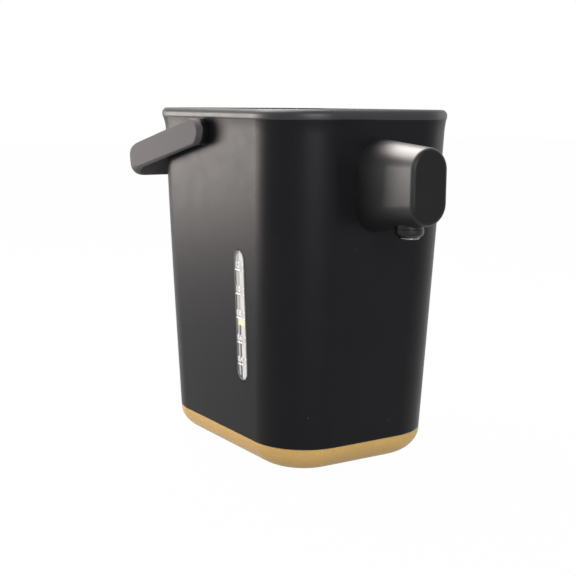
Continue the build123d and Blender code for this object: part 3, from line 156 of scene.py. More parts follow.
class ThermoPotColours(bpy.types.PropertyGroup):
    """Colours of the finishes."""

    shell: bpy.props.FloatVectorProperty(
        name="Shell", description="Charcoal paint of the body and lid",
        subtype="COLOR", size=3, min=0, max=1, default=(0.0052, 0.0048, 0.0060),
    )
    rim: bpy.props.FloatVectorProperty(
        name="Rim", description="Satin plastic of the rim band and collar",
        subtype="COLOR", size=3, min=0, max=1, default=(0.0120, 0.0114, 0.0126),
    )
    handle: bpy.props.FloatVectorProperty(
        name="Handle", description="Moulded plastic of the handle",
        subtype="COLOR", size=3, min=0, max=1, default=(0.0150, 0.0136, 0.0128),
    )
    trim: bpy.props.FloatVectorProperty(
        name="Trim", description="Black plastic of the spout cover, nozzle and pivots",
        subtype="COLOR", size=3, min=0, max=1, default=(0.0055, 0.0052, 0.0056),
    )
    base: bpy.props.FloatVectorProperty(
        name="Base", description="Gold paint of the base",
        subtype="COLOR", size=3, min=0, max=1, default=(0.50, 0.315, 0.100),
    )
    gauge: bpy.props.FloatVectorProperty(
        name="Gauge", description="Plate behind the gauge window",
        subtype="COLOR", size=3, min=0, max=1, default=(0.66, 0.66, 0.64),
    )
    ink: bpy.props.FloatVectorProperty(
        name="Ink", description="Numbers, bars and ticks of the gauge",
        subtype="COLOR", size=3, min=0, max=1, default=(0.90, 0.90, 0.90),
    )


class ThermoPotStudio(bpy.types.PropertyGroup):
    """Camera and lamps."""

    camera_place: bpy.props.FloatVectorProperty(
        name="Camera", description="Where the camera stands", subtype="TRANSLATION", unit="LENGTH",
        size=3, default=(-0.4570, -0.7009, 0.2536),
    )
    azimuth: bpy.props.FloatProperty(
        name="Azimuth", description="Turn of the camera about the pot; 0 looks along +Y",
        default=radians(-32.62), unit="ROTATION",
    )
    elevation: bpy.props.FloatProperty(
        name="Elevation", description="Height of the camera above the horizon",
        default=radians(9.33), unit="ROTATION",
    )
    roll: bpy.props.FloatProperty(
        name="Roll", description="Tilt of the camera about its own axis",
        default=radians(0.46), unit="ROTATION",
    )
    lens: bpy.props.FloatProperty(
        name="Lens", description="Focal length in millimetres on a 36 mm sensor",
        default=70.2, min=20, max=200,
    )
    side_light: bpy.props.FloatProperty(
        name="Side light", description="Power of the low lamp behind the gauge side, in watts",
        default=12.0, min=0,
    )
    top_light: bpy.props.FloatProperty(
        name="Top light", description="Power of the lamp behind and above, in watts",
        default=28.0, min=0,
    )
    edge_light: bpy.props.FloatProperty(
        name="Edge light", description="Power of the tall narrow lamp on the far side, in watts",
        default=2.0, min=0,
    )
    front_light: bpy.props.FloatProperty(
        name="Front light", description="Power of the soft lamp in front, in watts",
        default=21.0, min=0,
    )


def sizes():
    """The size settings."""
    return bpy.context.scene.thermo_pot_sizes


def colours():
    """The colour settings."""
    return bpy.context.scene.thermo_pot_colours


# --- finishes
class Wire:
    """One output of a node; sums of outputs are written as Python expressions."""

    def __init__(self, graph, socket):
        self.graph = graph
        self.socket = socket

    def __add__(self, other):
        return self.graph.math("ADD", self, other)

    def __sub__(self, other):
        return self.graph.math("SUBTRACT", self, other)

    def __rsub__(self, other):
        return self.graph.math("SUBTRACT", other, self)

    def __mul__(self, other):
        return self.graph.math("MULTIPLY", self, other)

    def __gt__(self, other):
        return self.graph.math("GREATER_THAN", self, other)

    def __lt__(self, other):
        return self.graph.math("LESS_THAN", self, other)

    def __abs__(self):
        return self.graph.math("ABSOLUTE", self)

    __radd__ = __add__
    __rmul__ = __mul__


class Graph:
    """A node tree, built node by node."""

    def __init__(self, tree):
        self.tree = tree

    def node(self, kind, settings=None, values=None, output=0):
        """Adds a node: its settings first, then the values or links of its sockets."""
        made = self.tree.nodes.new(kind)
        for key, value in (settings or {}).items():
            setattr(made, key, value)
        for key, value in (values or {}).items():
            self.feed(made.inputs[key], value)
        return Wire(self, made.outputs[output])

    def feed(self, socket, value):
        """Links a wire to a socket, or sets the socket's own value."""
        if isinstance(value, Wire):
            self.tree.links.new(value.socket, socket)
        else:
            socket.default_value = value

    def math(self, operation, *values):
        """A Math node."""
        return self.node("ShaderNodeMath", {"operation": operation}, dict(enumerate(values)))

    def seen_share(self, share):
        """A share for the rays of the camera, of gloss and of see-through pieces; else none."""
        rays = ("Is Camera Ray", "Is Glossy Ray", "Is Transmission Ray")
        camera, glossy, through = (self.node("ShaderNodeLightPath", output=ray) for ray in rays)
        return self.math("MAXIMUM", self.math("MAXIMUM", camera, glossy), through) * share

    def whiten(self, output, surface, kind, share):
        """Shows a surface as white, by a share, where it is seen. The light meets it plain."""
        white = self.node(kind, values={0: (1, 1, 1, 1)})
        values = {0: self.seen_share(share), 1: Wire(self, surface.outputs[0]), 2: white}
        blend = self.node("ShaderNodeMixShader", values=values)
        self.feed(self.tree.nodes[output].inputs[0], blend)


class Finish(Graph):
    """One material."""

    def __init__(self, name):
        self.material = bpy.data.materials.new(name)
        self.material.use_nodes = True
        super().__init__(self.material.node_tree)
        self.shader = self.tree.nodes["Principled BSDF"]
        self.place = self.node("ShaderNodeTexCoord", output="Object")

    def mix(self, share, first, second):
        """A colour between two, by a share."""
        return self.node(
            "ShaderNodeMix", {"data_type": "RGBA"}, {0: share, 6: first, 7: second}, output=2
        )

    def noise(self, scale, detail=2.0, stretch=(1, 1, 1)):
        """A noise of a given fineness per metre, stretched along an axis where asked."""
        place = self.node("ShaderNodeMapping", values={0: self.place, 3: stretch})
        values = {"Vector": place, "Scale": scale, "Detail": detail}
        return self.node("ShaderNodeTexNoise", values=values)

    def cells(self, scale, output="Distance"):
        """Cells of a given fineness per metre: the distance from their middles, or colours."""
        values = {"Vector": self.place, "Scale": scale}
        return self.node("ShaderNodeTexVoronoi", {"feature": "F1"}, values, output)

    def ramp(self, value, low, high):
        """A value brought to between 0 and 1 as it goes from low to high."""
        return self.node("ShaderNodeMapRange", values={0: value, 1: low, 2: high})

    def axis(self, letter):
        """One object coordinate."""
        return self.node("ShaderNodeSeparateXYZ", values={0: self.place}, output=letter)

    def bump(self, height, depth):
        """Feeds a height, in shares of a depth in metres, to the shader's normal."""
        self.set(Normal=self.node("ShaderNodeBump", values={"Height": height, "Distance": depth}))

    def set(self, **values):
        """Sets the shader's sockets; an underscore stands for a space."""
        for key, value in values.items():
            self.feed(self.shader.inputs[key.replace("_", " ")], value)


def rgba(colour, factor=1.0):
    """A colour with its alpha, made lighter or darker by a factor."""
    return (*(min(1.0, c * factor) for c in colour), 1.0)


def moulded(name, colour, roughness, specular=0.3, grain=2600, grain_depth=0.00003, mottle=0.12):
    """Moulded or painted plastic: a fine grain, a faint mottle and a slightly uneven sheen."""
    f = Finish(name)
    cloud = f.ramp(f.noise(38, 3), 0.35, 0.65)
    speck = f.noise(grain, 2)
    f.set(
        Base_Color=f.mix(cloud, rgba(colour, 1 - mottle), rgba(colour, 1 + mottle)),
        Roughness=f.noise(90, 3) * 0.10 + (roughness - 0.05),
        Specular_IOR_Level=specular,
    )
    f.bump(speck, grain_depth)
    return f


def satin_black():
    """The body's charcoal paint, with a scatter of tiny dust specks."""
    f = moulded("satin_black", colours().shell, 0.35, specular=0.11)
    chosen = f.noise(61, 0) > 0.70
    dust = (f.cells(130) < 0.035) * chosen
    cloud = f.ramp(f.noise(24, 3), 0.3, 0.7)
    paint = f.mix(cloud, rgba(colours().shell, 0.9), rgba(colours().shell, 1.12))
    f.set(Base_Color=f.mix(dust, paint, rgba((0.16, 0.15, 0.14))))
    return f


def pod_black():
    """The spout cover's plastic: a matte front, and a sleeve with more sheen towards its top."""
    f = moulded("pod_black", colours().trim, 0.40, 0.16, 3200, 0.000012)
    sleeve = f.ramp(f.axis("Y"), POD_LOW.y + 0.4 * MM, POD_LOW.y + sizes().pod_edge)
    middle = centre("spout_cover").z
    upper = f.ramp(f.axis("Z"), middle - 16 * MM, middle + 12 * MM)
    sheen = sleeve * (f.noise(50, 2) * 0.1 + 0.25 + upper * 0.62)
    f.set(Coat_Weight=sheen, Coat_Roughness=0.44, Coat_IOR=1.8)
    return f


def gold_paint():
    """Satin gold paint with fine flakes."""
    f = Finish("gold_paint")
    gold = colours().base
    flakes = f.node("ShaderNodeSeparateColor", values={0: f.cells(2400, "Color")})
    sparkle = f.ramp(flakes, 0.55, 1.0)
    cloud = f.ramp(f.noise(30, 3), 0.3, 0.7)
    paint = f.mix(cloud, rgba(gold, 0.94), rgba(gold, 1.05))
    f.set(
        Base_Color=f.mix(sparkle * 0.22, paint, rgba((0.86, 0.66, 0.30))),
        Roughness=f.noise(120, 2) * 0.10 + 0.40,
        Specular_IOR_Level=0.25,
    )
    f.bump(f.noise(1900, 2), 0.00002)
    return f


def clear_acrylic():
    """Clear window: mostly see-through, with a hard gloss and faint waviness."""
    f = Finish("clear_acrylic")
    f.set(
        Base_Color=f.mix(f.noise(60, 2), rgba((0.80, 0.81, 0.82)), rgba((0.92, 0.92, 0.93))),
        Roughness=f.noise(300, 2) * 0.04 + 0.03,
        Alpha=f.noise(45, 2) * 0.04 + 0.05,
        Specular_IOR_Level=0.5,
    )
    f.bump(f.noise(210, 2), 0.00006)
    return f


def gauge_plate():
    """Grey backing of the gauge with painted shade: darker on its rear side of the tube, a dark
    stripe painted for the tube's refraction, and a pale band at the water level.
    """
    f = Finish("gauge_plate")
    grey = colours().gauge
    tube_y = GAUGE_CENTRE.y + 2.2 * MM  # the tube stands off the window's middle
    across = tube_y - f.axis("Y")
    # Painted shade: a near-black stripe down the tube, stronger below the water level, stands in for
    # the water-filled tube's refraction.
    painted_tube_line = 1 - f.ramp(abs(across), 0.8 * MM, 1.4 * MM)
    wet = 1 - f.ramp(f.axis("Z"), GAUGE_LEVEL_Z - 1.5 * MM, GAUGE_LEVEL_Z)
    haze = f.ramp(f.noise(70, 3, (1, 1, 0.2)), 0.3, 0.7)
    # Painted shade: the plate is darker on its rear side of the tube and lighter towards the front.
    side = f.ramp(across, -1 * MM, 1 * MM)
    plain = f.mix(side * 0.8 + haze * 0.2, rgba(grey, 0.80), rgba(grey, 1.0))
    plain = f.mix(painted_tube_line * (wet * 0.6 + 0.4), plain, rgba((0.008, 0.008, 0.008)))
    # A pale band round the water level.
    pale_band = 1 - f.ramp(abs(f.axis("Z") - GAUGE_LEVEL_Z), 2.2 * MM, 3.6 * MM)
    f.set(
        Base_Color=f.mix(pale_band, plain, rgba((0.84, 0.84, 0.62))),
        Roughness=f.noise(200, 2) * 0.1 + 0.45,
        Specular_IOR_Level=0.12,
    )
    f.bump(f.noise(500, 2), 0.00003)
    return f


def printed():
    """White print with a slightly uneven edge of ink."""
    f = Finish("printed")
    ink = colours().ink
    f.set(
        Base_Color=f.mix(f.noise(900, 2), rgba(ink, 0.9), rgba(ink, 1.1)),
        Roughness=f.noise(400, 1) * 0.1 + 0.4,
    )
    f.bump(f.noise(2500, 1), 0.00001)
    return f


def brushed(name, colour, roughness, stretch):
    """Metal with fine lines along one direction."""
    f = Finish(name)
    lines = f.noise(900, 3, stretch)
    f.set(
        Base_Color=f.mix(f.ramp(lines, 0.3, 0.7), rgba(colour, 0.88), rgba(colour, 1.08)),
        Roughness=lines * 0.14 + (roughness - 0.07),
        Metallic=1.0,
    )
    f.bump(lines, 0.00001)
    return f


def zinc_plate():
    """Zinc plated steel: soft cloudy tones."""
    f = Finish("zinc_plate")
    cloud = f.ramp(f.noise(260, 3), 0.35, 0.65)
    f.set(
        Base_Color=f.mix(cloud, rgba((0.46, 0.47, 0.48)), rgba((0.62, 0.62, 0.60))),
        Roughness=cloud * 0.12 + 0.26,
        Metallic=1.0,
    )
    f.bump(f.noise(1500, 2), 0.00001)
    return f


def heater_foil():
    """Mica and foil band, crinkled."""
    f = Finish("heater_foil")
    fold = f.ramp(f.noise(320, 3), 0.3, 0.7)
    f.set(
        Base_Color=f.mix(fold, rgba((0.48, 0.42, 0.32)), rgba((0.66, 0.60, 0.48))),
        Roughness=fold * 0.2 + 0.3,
        Metallic=0.7,
    )
    f.bump(fold, 0.0002)
    return f


def silicone():
    """Milky silicone with a soft inner glow."""
    f = moulded("silicone", (0.60, 0.60, 0.57), 0.38, 0.4, 900, 0.00002, 0.05)
    f.set(Subsurface_Weight=0.3, Subsurface_Scale=0.002)
    return f


def glass_felt():
    """Felted fibre: tangled streaks of two tones."""
    f = Finish("glass_felt")
    fibre = f.noise(700, 4, (1, 0.2, 1)) * 0.5 + f.noise(700, 4, (0.2, 1, 1)) * 0.5
    tone = f.ramp(fibre, 0.35, 0.65)
    f.set(
        Base_Color=f.mix(tone, rgba((0.56, 0.53, 0.44)), rgba((0.80, 0.78, 0.70))),
        Roughness=fibre * 0.1 + 0.85,
        Sheen_Weight=0.3,
    )
    f.bump(fibre, 0.0006)
    return f


def circuit_board():
    """Green laminate with a net of copper tracks under the lacquer."""
    f = Finish("circuit_board")
    net = {"Scale": 120.0, "Mortar Size": 0.035, "Brick Width": 0.9, "Row Height": 0.45}
    tracks = f.node("ShaderNodeTexBrick", {"offset": 0.37}, {"Vector": f.place, **net}, "Fac")
    f.set(
        Base_Color=f.mix(tracks, rgba((0.012, 0.085, 0.030)), rgba((0.05, 0.19, 0.07))),
        Roughness=tracks * 0.1 + 0.3,
    )
    f.bump(tracks, 0.00004)
    return f


# Plain plastics: a colour or the name of its setting, roughness, specular level, grain per metre,
# depth of the grain and mottle.
PLASTICS = {
    "rim_satin": ("rim", 0.42, 0.41, 3000, 0.00001),
    "handle_plastic": ("handle", 0.44, 0.07),
    "trim_black": ("trim", 0.38, 0.26, 3200, 0.000012),
    "pivot_black": ("trim", 0.24, 0.11, 3200, 0.000008),
    "panel_film": ((0.008, 0.008, 0.009), 0.34, 0.20, 1500, 0.00001),
    "button_grey": ((0.20, 0.20, 0.205), 0.42),
    "button_gold": ((0.38, 0.24, 0.08), 0.38),
    # The gauge window's frame is the clear window's bevel; its lighter grey is a painted highlight of
    # that edge.
    "gauge_rim": ((0.14, 0.14, 0.14), 0.16, 0.5, 800, 0.00001),
    "white_plastic": ((0.62, 0.61, 0.58), 0.42, 0.4, 2600, 0.00003, 0.05),
    "natural_plastic": ((0.40, 0.39, 0.36), 0.5, 0.4, 2600, 0.00003, 0.06),
    "dark_plastic": ((0.018, 0.018, 0.019), 0.55, 0.35, 1800, 0.00006),
    "dark_rubber": ((0.020, 0.020, 0.020), 0.72, 0.25, 1700, 0.00008, 0.25),
    "ferrite": ((0.035, 0.035, 0.037), 0.5, 0.5, 1200, 0.00008, 0.2),
}

# Brushed metals: colour, roughness and the stretch of the lines along each axis.
METALS = {
    "stainless": ((0.60, 0.59, 0.57), 0.28, (1, 1, 0.03)),
    "outlet_steel": ((0.20, 0.20, 0.205), 0.30, (1, 1, 0.1)),
    "copper_contact": ((0.72, 0.50, 0.24), 0.25, (1, 0.1, 1)),
}

SPECIAL_FINISHES = {
    maker.__name__: maker
    for maker in (
        satin_black, pod_black, gold_paint, clear_acrylic, gauge_plate, printed, zinc_plate,
        heater_foil, silicone, glass_felt, circuit_board,
    )
}

# A slot that isn't here has a finish of its own name.
FINISH_OF_SLOT = {
    "black_shell": "satin_black",
    "gloss_trim": "trim_black",
    "gold_base": "gold_paint",
    "dark_base": "dark_plastic",
    "panel_face": "panel_film",
    "button_plastic": "button_grey",
    "accent_button": "button_gold",
    "clear_window": "clear_acrylic",
    "scale_print": "gauge_plate",
    "zinc_steel": "zinc_plate",
    "inner_plastic": "natural_plastic",
    "insulation": "glass_felt",
    "heater_film": "heater_foil",
    "electronics": "dark_plastic",
    "copper_pins": "copper_contact",
    "magnet": "ferrite",
}

NODE_FINISHES = {"top_collar": "rim_satin"}  # nodes whose finish isn't their slot's own


def make_finish(name):
    """Makes a finish from its table or by its own function."""
    if name in PLASTICS:
        colour, *rest = PLASTICS[name]
        if isinstance(colour, str):
            colour = getattr(colours(), colour)
        return moulded(name, colour, *rest).material
    if name in METALS:
        return brushed(name, *METALS[name]).material
    return SPECIAL_FINISHES[name]().material


def finish_of(name):
    """The material of a finish, made the first time it is asked for."""
    return bpy.data.materials.get(name) or make_finish(name)


# --- shaping
# One level of a lofted piece: a rectangle with round corners at a height, moved along local y.
# The corners on its +x side may have their own radii, across and upright.
Level = namedtuple("Level", "height half_x half_y corner shift outer", defaults=(0.0, None))


def body_level(z, inset=0.0, rear=0.0):
    """The body's outline at a height, moved inwards by an inset and further at the rear."""
    share = (z - SEAM_Z) / (RIM_Z - SEAM_Z)
    corner = sizes().seam_corner + share * (sizes().top_corner - sizes().seam_corner)
    half_x = BASE_HIGH.x + SIDE_DRAFT * (z - SEAM_Z)
    half_y = BASE_HIGH.y + FRONT_DRAFT * (z - SEAM_Z) - rear / 2
    return Level(z, half_x - inset, half_y - inset, corner - inset, -rear / 2)


def round_steps(count):
    """Shares (inwards, onwards) along a quarter round, from its start to its end."""
    turns = [radians(90 * i / count) for i in range(count + 1)]
    return [(1 - cos(turn), sin(turn)) for turn in turns]


def corner_radii(level, side_x):
    """The radii of a level's corners on one side, kept from closing up or filling the side."""
    if level.outer and side_x > 0:
        return level.outer
    widest = 0.999 * min(level.half_x, level.half_y)
    radius = max(min(level.corner, widest), 0.001 * MM)
    return radius, radius


def corner_middle(level, side_x, side_y):
    """The middle of one of a level's round corners, and its radii."""
    across, upright = corner_radii(level, side_x)
    x = side_x * (level.half_x - across)
    y = side_y * (level.half_y - upright) + level.shift
    return Vector((x, y, level.height)), (across, upright)


def reshape(bm, verts, quarter, old, new):
    """Moves a ring of points from one level to another, corner by corner."""
    for number, sides in enumerate(((-1, -1), (-1, 1), (1, -1), (1, 1))):
        start, (old_x, old_y) = corner_middle(old, *sides)
        end, (new_x, new_y) = corner_middle(new, *sides)
        change = (
            Matrix.Translation(end)
            @ Matrix.Diagonal((new_x / old_x, new_y / old_y, 1, 1))
            @ Matrix.Translation(-start)
        )
        members = [v for v in verts if v[quarter] == number]
        bmesh.ops.transform(bm, matrix=change, verts=members)


def loft(levels, start_cap=False, end_cap=False, closed=False, steps=CORNER_STEPS, places=None):
    """A mesh through several levels, capped at its ends or closed back onto its first ring.

    Places, one for each level, set the rings along a path.
    """
    bm = bmesh.new()
    quarter = bm.verts.layers.int.new("quarter")
    first = levels[0]
    grid = bmesh.ops.create_grid(bm, x_segments=1, y_segments=1, size=1.0)["verts"]
    spot = Matrix.Translation((0, first.shift, first.height))
    size = Matrix.Diagonal((first.half_x, first.half_y, 1, 1))
    bmesh.ops.transform(bm, matrix=spot @ size, verts=grid)
    plain = first._replace(outer=None)
    plain = plain._replace(corner=corner_radii(plain, 1)[0])
    bmesh.ops.bevel(
        bm, geom=grid, offset=plain.corner, offset_type="OFFSET", affect="VERTICES",
        segments=steps, profile=0.5, material=-1,
    )
    for v in bm.verts:
        v[quarter] = 2 * (v.co.x > 0) + (v.co.y > first.shift)
    rings = [list(bm.verts)]
    edges = list(bm.edges)
    start_edges = edges
    if not start_cap:
        bmesh.ops.delete(bm, geom=list(bm.faces), context="FACES_ONLY")
    reshape(bm, rings[0], quarter, plain, first)
    for old, new in zip(levels, levels[1:]):
        grown = bmesh.ops.extrude_edge_only(bm, edges=edges)["geom"]
        ring = [v for v in grown if isinstance(v, bmesh.types.BMVert)]
        reshape(bm, ring, quarter, old, new)
        members = set(ring)
        grown_edges = [e for e in grown if isinstance(e, bmesh.types.BMEdge)]
        edges = [e for e in grown_edges if set(e.verts) <= members]
        rings.append(ring)
    if closed:
        bmesh.ops.bridge_loops(bm, edges=[*start_edges, *edges])
    if end_cap:
        bmesh.ops.contextual_create(bm, geom=edges)
    for ring, level, target in zip(rings, levels, places or ()):
        flat = Matrix.Translation((0, 0, -level.height))
        bmesh.ops.transform(bm, matrix=target @ flat, verts=ring)
    bm.verts.layers.int.remove(quarter)
    return bm


def turned(profile, place, steps=TURN_STEPS):
    """A profile of (radius, height) points spun about the local height axis and put in place."""
    bm = bmesh.new()
    verts = [bm.verts.new((radius, 0, height)) for radius, height in profile]
    edges = [bm.edges.new(pair) for pair in zip(verts, verts[1:])]
    bmesh.ops.spin(
        bm, geom=[*verts, *edges], cent=(0, 0, 0), axis=(0, 0, 1), angle=2 * pi, steps=steps,
        use_merge=True,
    )
    bmesh.ops.remove_doubles(bm, verts=bm.verts, dist=1e-6)
    bmesh.ops.transform(bm, matrix=place, verts=bm.verts)
    return bm


def add_to(bm, other):
    """Puts another bmesh into this one."""
    mesh = bpy.data.meshes.new("joined")
    other.to_mesh(mesh)
    other.free()
    bm.from_mesh(mesh)
    bpy.data.meshes.remove(mesh)


def evaluated_mesh(piece):
    """A piece as a mesh, with its modifiers and its lettering worked out."""
    bpy.context.view_layer.update()
    depsgraph = bpy.context.evaluated_depsgraph_get()
    return bpy.data.meshes.new_from_object(piece.evaluated_get(depsgraph))


def link_object(name, data):
    """A new object in the scene."""
    made = bpy.data.objects.new(name, data)
    bpy.context.scene.collection.objects.link(made)
    return made


def make_object(name, bm, place=None):
    """A mesh object at the origin from a bmesh, its faces outwards."""
    if place is not None:
        bmesh.ops.transform(bm, matrix=place, verts=bm.verts)
    bmesh.ops.recalc_face_normals(bm, faces=bm.faces)
    mesh = bpy.data.meshes.new(name)
    bm.to_mesh(mesh)
    bm.free()
    return link_object(name, mesh)


def cut(piece, tool):
    """Cuts a tool out of a piece, for good."""
    carve = piece.modifiers.new("cut", "BOOLEAN")
    carve.operation = "DIFFERENCE"
    carve.solver = "EXACT"
    carve.object = tool
    mesh, old = evaluated_mesh(piece), piece.data
    piece.modifiers.clear()
    piece.data = mesh
    bpy.data.meshes.remove(old)
    mesh.name = piece.name
    bpy.data.objects.remove(tool)


def dress(piece, body, slot, replaces=(), angle=35, finish=None):
    """Gives a piece its finish, smooth shading up to an angle, its body and what it stands for."""
    piece.data.materials.clear()
    piece.data.materials.append(finish_of(finish or FINISH_OF_SLOT.get(slot, slot)))
    piece.data.shade_smooth()
    bm = bmesh.new()
    bm.from_mesh(piece.data)
    for edge in bm.edges:
        edge.smooth = len(edge.link_faces) == 2 and edge.calc_face_angle(0) < radians(angle)
    bm.to_mesh(piece.data)
    bm.free()
    weighted = piece.modifiers.new("even_normals", "WEIGHTED_NORMAL")
    weighted.keep_sharp = True
    if replaces:
        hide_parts(*replaces)
    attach(piece, body)


# --- body, base and rim
def add_body_shell():
    """The painted outer shell: a tapered wall with soft corners, open for the gauge and inlet."""
    s = sizes()
    wall_rings, flare_rings = 10, 8
    flare_low = RIM_Z - 9 * MM
    outer = [body_level(SEAM_Z + s.edge * on, s.edge * (1 - on)) for _, on in round_steps(3)]
    for i in range(1, wall_rings + 1):
        share = i / wall_rings
        z = SEAM_Z + (flare_low - SEAM_Z) * share
        outer.append(body_level(z, s.flare * share**3, s.rear_flare * share**3))
    for i in range(1, flare_rings + 1):
        share = 1 - (i / flare_rings) ** 2
        z = flare_low + (RIM_Z - flare_low) * i / flare_rings
        outer.append(body_level(z, s.flare * share, s.rear_flare * share))
    inner = [body_level(RIM_Z, s.wall), body_level(SEAM_Z, s.wall)]
    shell = make_object("body_shell", loft([*outer, *inner], closed=True))
    cut(shell, gauge_slot_tool())
    cut(shell, inlet_tool())
    dress(shell, "pot", "black_shell", ["outer_shell"])


def inlet_tool():
    """The opening for the power inlet."""
    low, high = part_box("power_inlet")
    gap, corner, depth = 0.1 * MM, 4 * MM, 30 * MM
    level = Level(0, (high.x - low.x) / 2 + gap, (high.z - low.z) / 2 + gap, corner)
    bm = loft([level, level._replace(height=depth)], start_cap=True, end_cap=True, steps=6)
    place = Matrix.Translation((0, high.y + depth / 2, centre("power_inlet").z)) @ UPRIGHT
    return make_object("inlet_tool", bm, place)


def add_base_bowl():
    """The gold base: a quarter ellipse that turns in under the body."""
    s = sizes()
    bowl_height = SEAM_Z - BASE_LOW.z
    lip, bottom = 3.4 * MM, 3 * MM  # width of the flat ring underneath, thickness of the bottom
    outer = [body_level(SEAM_Z - s.edge * on, s.edge * (1 - on)) for _, on in round_steps(3)]
    for inward, on in round_steps(14)[1:]:
        drop = s.edge + (bowl_height - s.edge) * on
        outer.append(body_level(SEAM_Z, s.base_inset * inward)._replace(height=SEAM_Z - drop))
    under = body_level(SEAM_Z, s.base_inset + lip)
    inner = [under._replace(height=BASE_LOW.z), under._replace(height=BASE_LOW.z + bottom)]
    for inward, on in reversed(round_steps(12)):
        drop = (bowl_height - bottom) * on
        inside = body_level(SEAM_Z, s.wall + s.base_inset * inward)
        inner.append(inside._replace(height=SEAM_Z - drop))
    bowl = make_object("base_bowl", loft([*outer, *inner], closed=True))
    dress(bowl, "pot", "gold_base", ["base_skirt"])


def add_rim_band():
    """The rounded satin band round the collar, a little proud of the shell."""
    edge = sizes().rim_edge
    tall = TOP_Z - RIM_Z
    outline = body_level(RIM_Z)
    proud, thick = 0.50 * MM, 1.2 * MM
    foot = ((0.02, -0.1), (0.25, 0.25), (0.40, 0.9))  # out and up, in millimetres
    profile = [(-thick, foot[0][1] * MM)] + [(out * MM, up * MM) for out, up in foot]
    profile += [(proud - edge * inward, tall - edge * (1 - on)) for inward, on in round_steps(10)]
    profile += [(-thick - edge, tall - thick)]
    levels = [
        Level(RIM_Z + up, outline.half_x + out, outline.half_y + out, outline.corner + out)
        for out, up in profile
    ]
    band = make_object("rim_band", loft(levels, closed=True))
    dress(band, "pot", "black_shell", finish="rim_satin", angle=45)


# --- water gauge
GAUGE_HALF_X = BASE_HIGH.x + SIDE_DRAFT * (GAUGE_CENTRE.z - SEAM_Z)
GAUGE_LENGTH, GAUGE_WIDTH = 93.8 * MM, 14.6 * MM
GAUGE_STEPS = 16  # segments in a round end of the gauge's pieces
# The height of each mark above the ground in millimetres, and its number.
GAUGE_MARKS = {140.0: "1.2", 123.0: "1.0", 106.0: "0.8", 88.4: "0.6", 72.7: "0.4"}
# The bar under each number and the ticks beside it: middle x, up, width and height in millimetres.
GAUGE_BARS = ((-2.4, 0.0, 6.4, 1.0), (5.4, 0.2, 1.3, 0.8), (5.2, 4.6, 1.0, 1.1))
# The section of the window's raised frame: shares of its width and of its height.
GAUGE_BEAD = ((0.0, -5.0), (0.0, 0.5), (0.2, 0.9), (0.5, 1.0), (0.8, 0.9), (1.0, 0.4), (1.0, -5.0))


def gauge_place():
    """The gauge's own frame: x to the viewer's right, y up the wall, height outwards."""
    out = Vector((-1, 0, -SIDE_DRAFT)).normalized()
    right = Vector((0, -1, 0))
    up = out.cross(right)
    turn = Matrix((right, up, out)).transposed().to_4x4()
    return Matrix.Translation((-GAUGE_HALF_X, GAUGE_CENTRE.y, GAUGE_CENTRE.z)) @ turn


def gauge_level(height, grow=0.0):
    """The gauge's slot shape at a height over the wall, grown by a margin."""
    half = GAUGE_WIDTH / 2 + grow
    return Level(height, half, GAUGE_LENGTH / 2 + grow, half)


def gauge_piece(name, levels, closed=False):
    """A piece of the gauge through several levels, solid unless it closes onto itself."""
    bm = loft(levels, not closed, not closed, closed, GAUGE_STEPS)
    return make_object(name, bm, gauge_place())


def gauge_slot_tool():
    """The slot in the shell behind the gauge window."""
    reach = 8 * MM
    return gauge_piece("gauge_slot_tool", [gauge_level(-reach), gauge_level(reach)])


def add_gauge():
    """The window's clear lens and raised frame, whose lighter grey is a painted highlight of the
    window's clear edge, the grey plate behind it and the printed marks.
    """
    frame_width, proud, gap = 0.8 * MM, 0.5 * MM, 0.75 * MM
    bead = [gauge_level(proud * up, -gap - frame_width * across) for across, up in GAUGE_BEAD]
    rim = gauge_piece("gauge_frame", bead, closed=True)
    # Painted highlight: the frame's grey stands in for light caught on the clear window's edge.
    dress(rim, "pot", "clear_window", finish="gauge_rim")

    inside = -gap - frame_width
    dome, dome_width = 0.2 * MM, 2.2 * MM
    levels = [gauge_level(-0.4 * MM, inside)]
    for inward, on in round_steps(5):
        levels.append(gauge_level(dome * on, inside - dome_width * inward))
    dress(gauge_piece("gauge_lens", levels), "pot", "clear_window", ["gauge_window"])

    flange, step = 1.0 * MM, -2.6 * MM  # the flange's width, and where the plate narrows
    levels = [gauge_level(-3.4 * MM, flange), gauge_level(step, flange)]
    levels += [gauge_level(step, -gap), gauge_level(-0.5 * MM, -gap)]
    dress(gauge_piece("gauge_backing", levels), "pot", "scale_print", ["gauge_scale"])
    add_gauge_marks(0.25 * MM)


def add_gauge_marks(height):
    """Each number with its bar under it, and small ticks beside them, printed on the lens."""
    number_up, number_width = 3.4 * MM, 0.82  # the middle over its bar, and how narrow it is set
    bm = bmesh.new()
    for z in GAUGE_MARKS:
        for x, up, width, tall in GAUGE_BARS:
            bar = bmesh.ops.create_cube(bm, size=1)["verts"]
            spot = Matrix.Translation((x * MM, z * MM - GAUGE_CENTRE.z + up * MM, height))
            size = Matrix.Diagonal((width * MM, tall * MM, 2 * PRINT_DEPTH, 1))
            bmesh.ops.transform(bm, matrix=spot @ size, verts=bar)
    ticks = make_object("gauge_ticks", bm, gauge_place())
    dress(ticks, "pot", "scale_print", finish="printed")
    for z, number in GAUGE_MARKS.items():
        spot = (GAUGE_BARS[0][0] * MM, z * MM - GAUGE_CENTRE.z + number_up, height)
        place = gauge_place() @ Matrix.Translation(spot) @ Matrix.Diagonal((number_width, 1, 1, 1))
        name = "gauge_number_" + number.replace(".", "_")
        text = label(name, number, sizes().digit_height, place)
        dress(text, "pot", "scale_print", finish="printed")


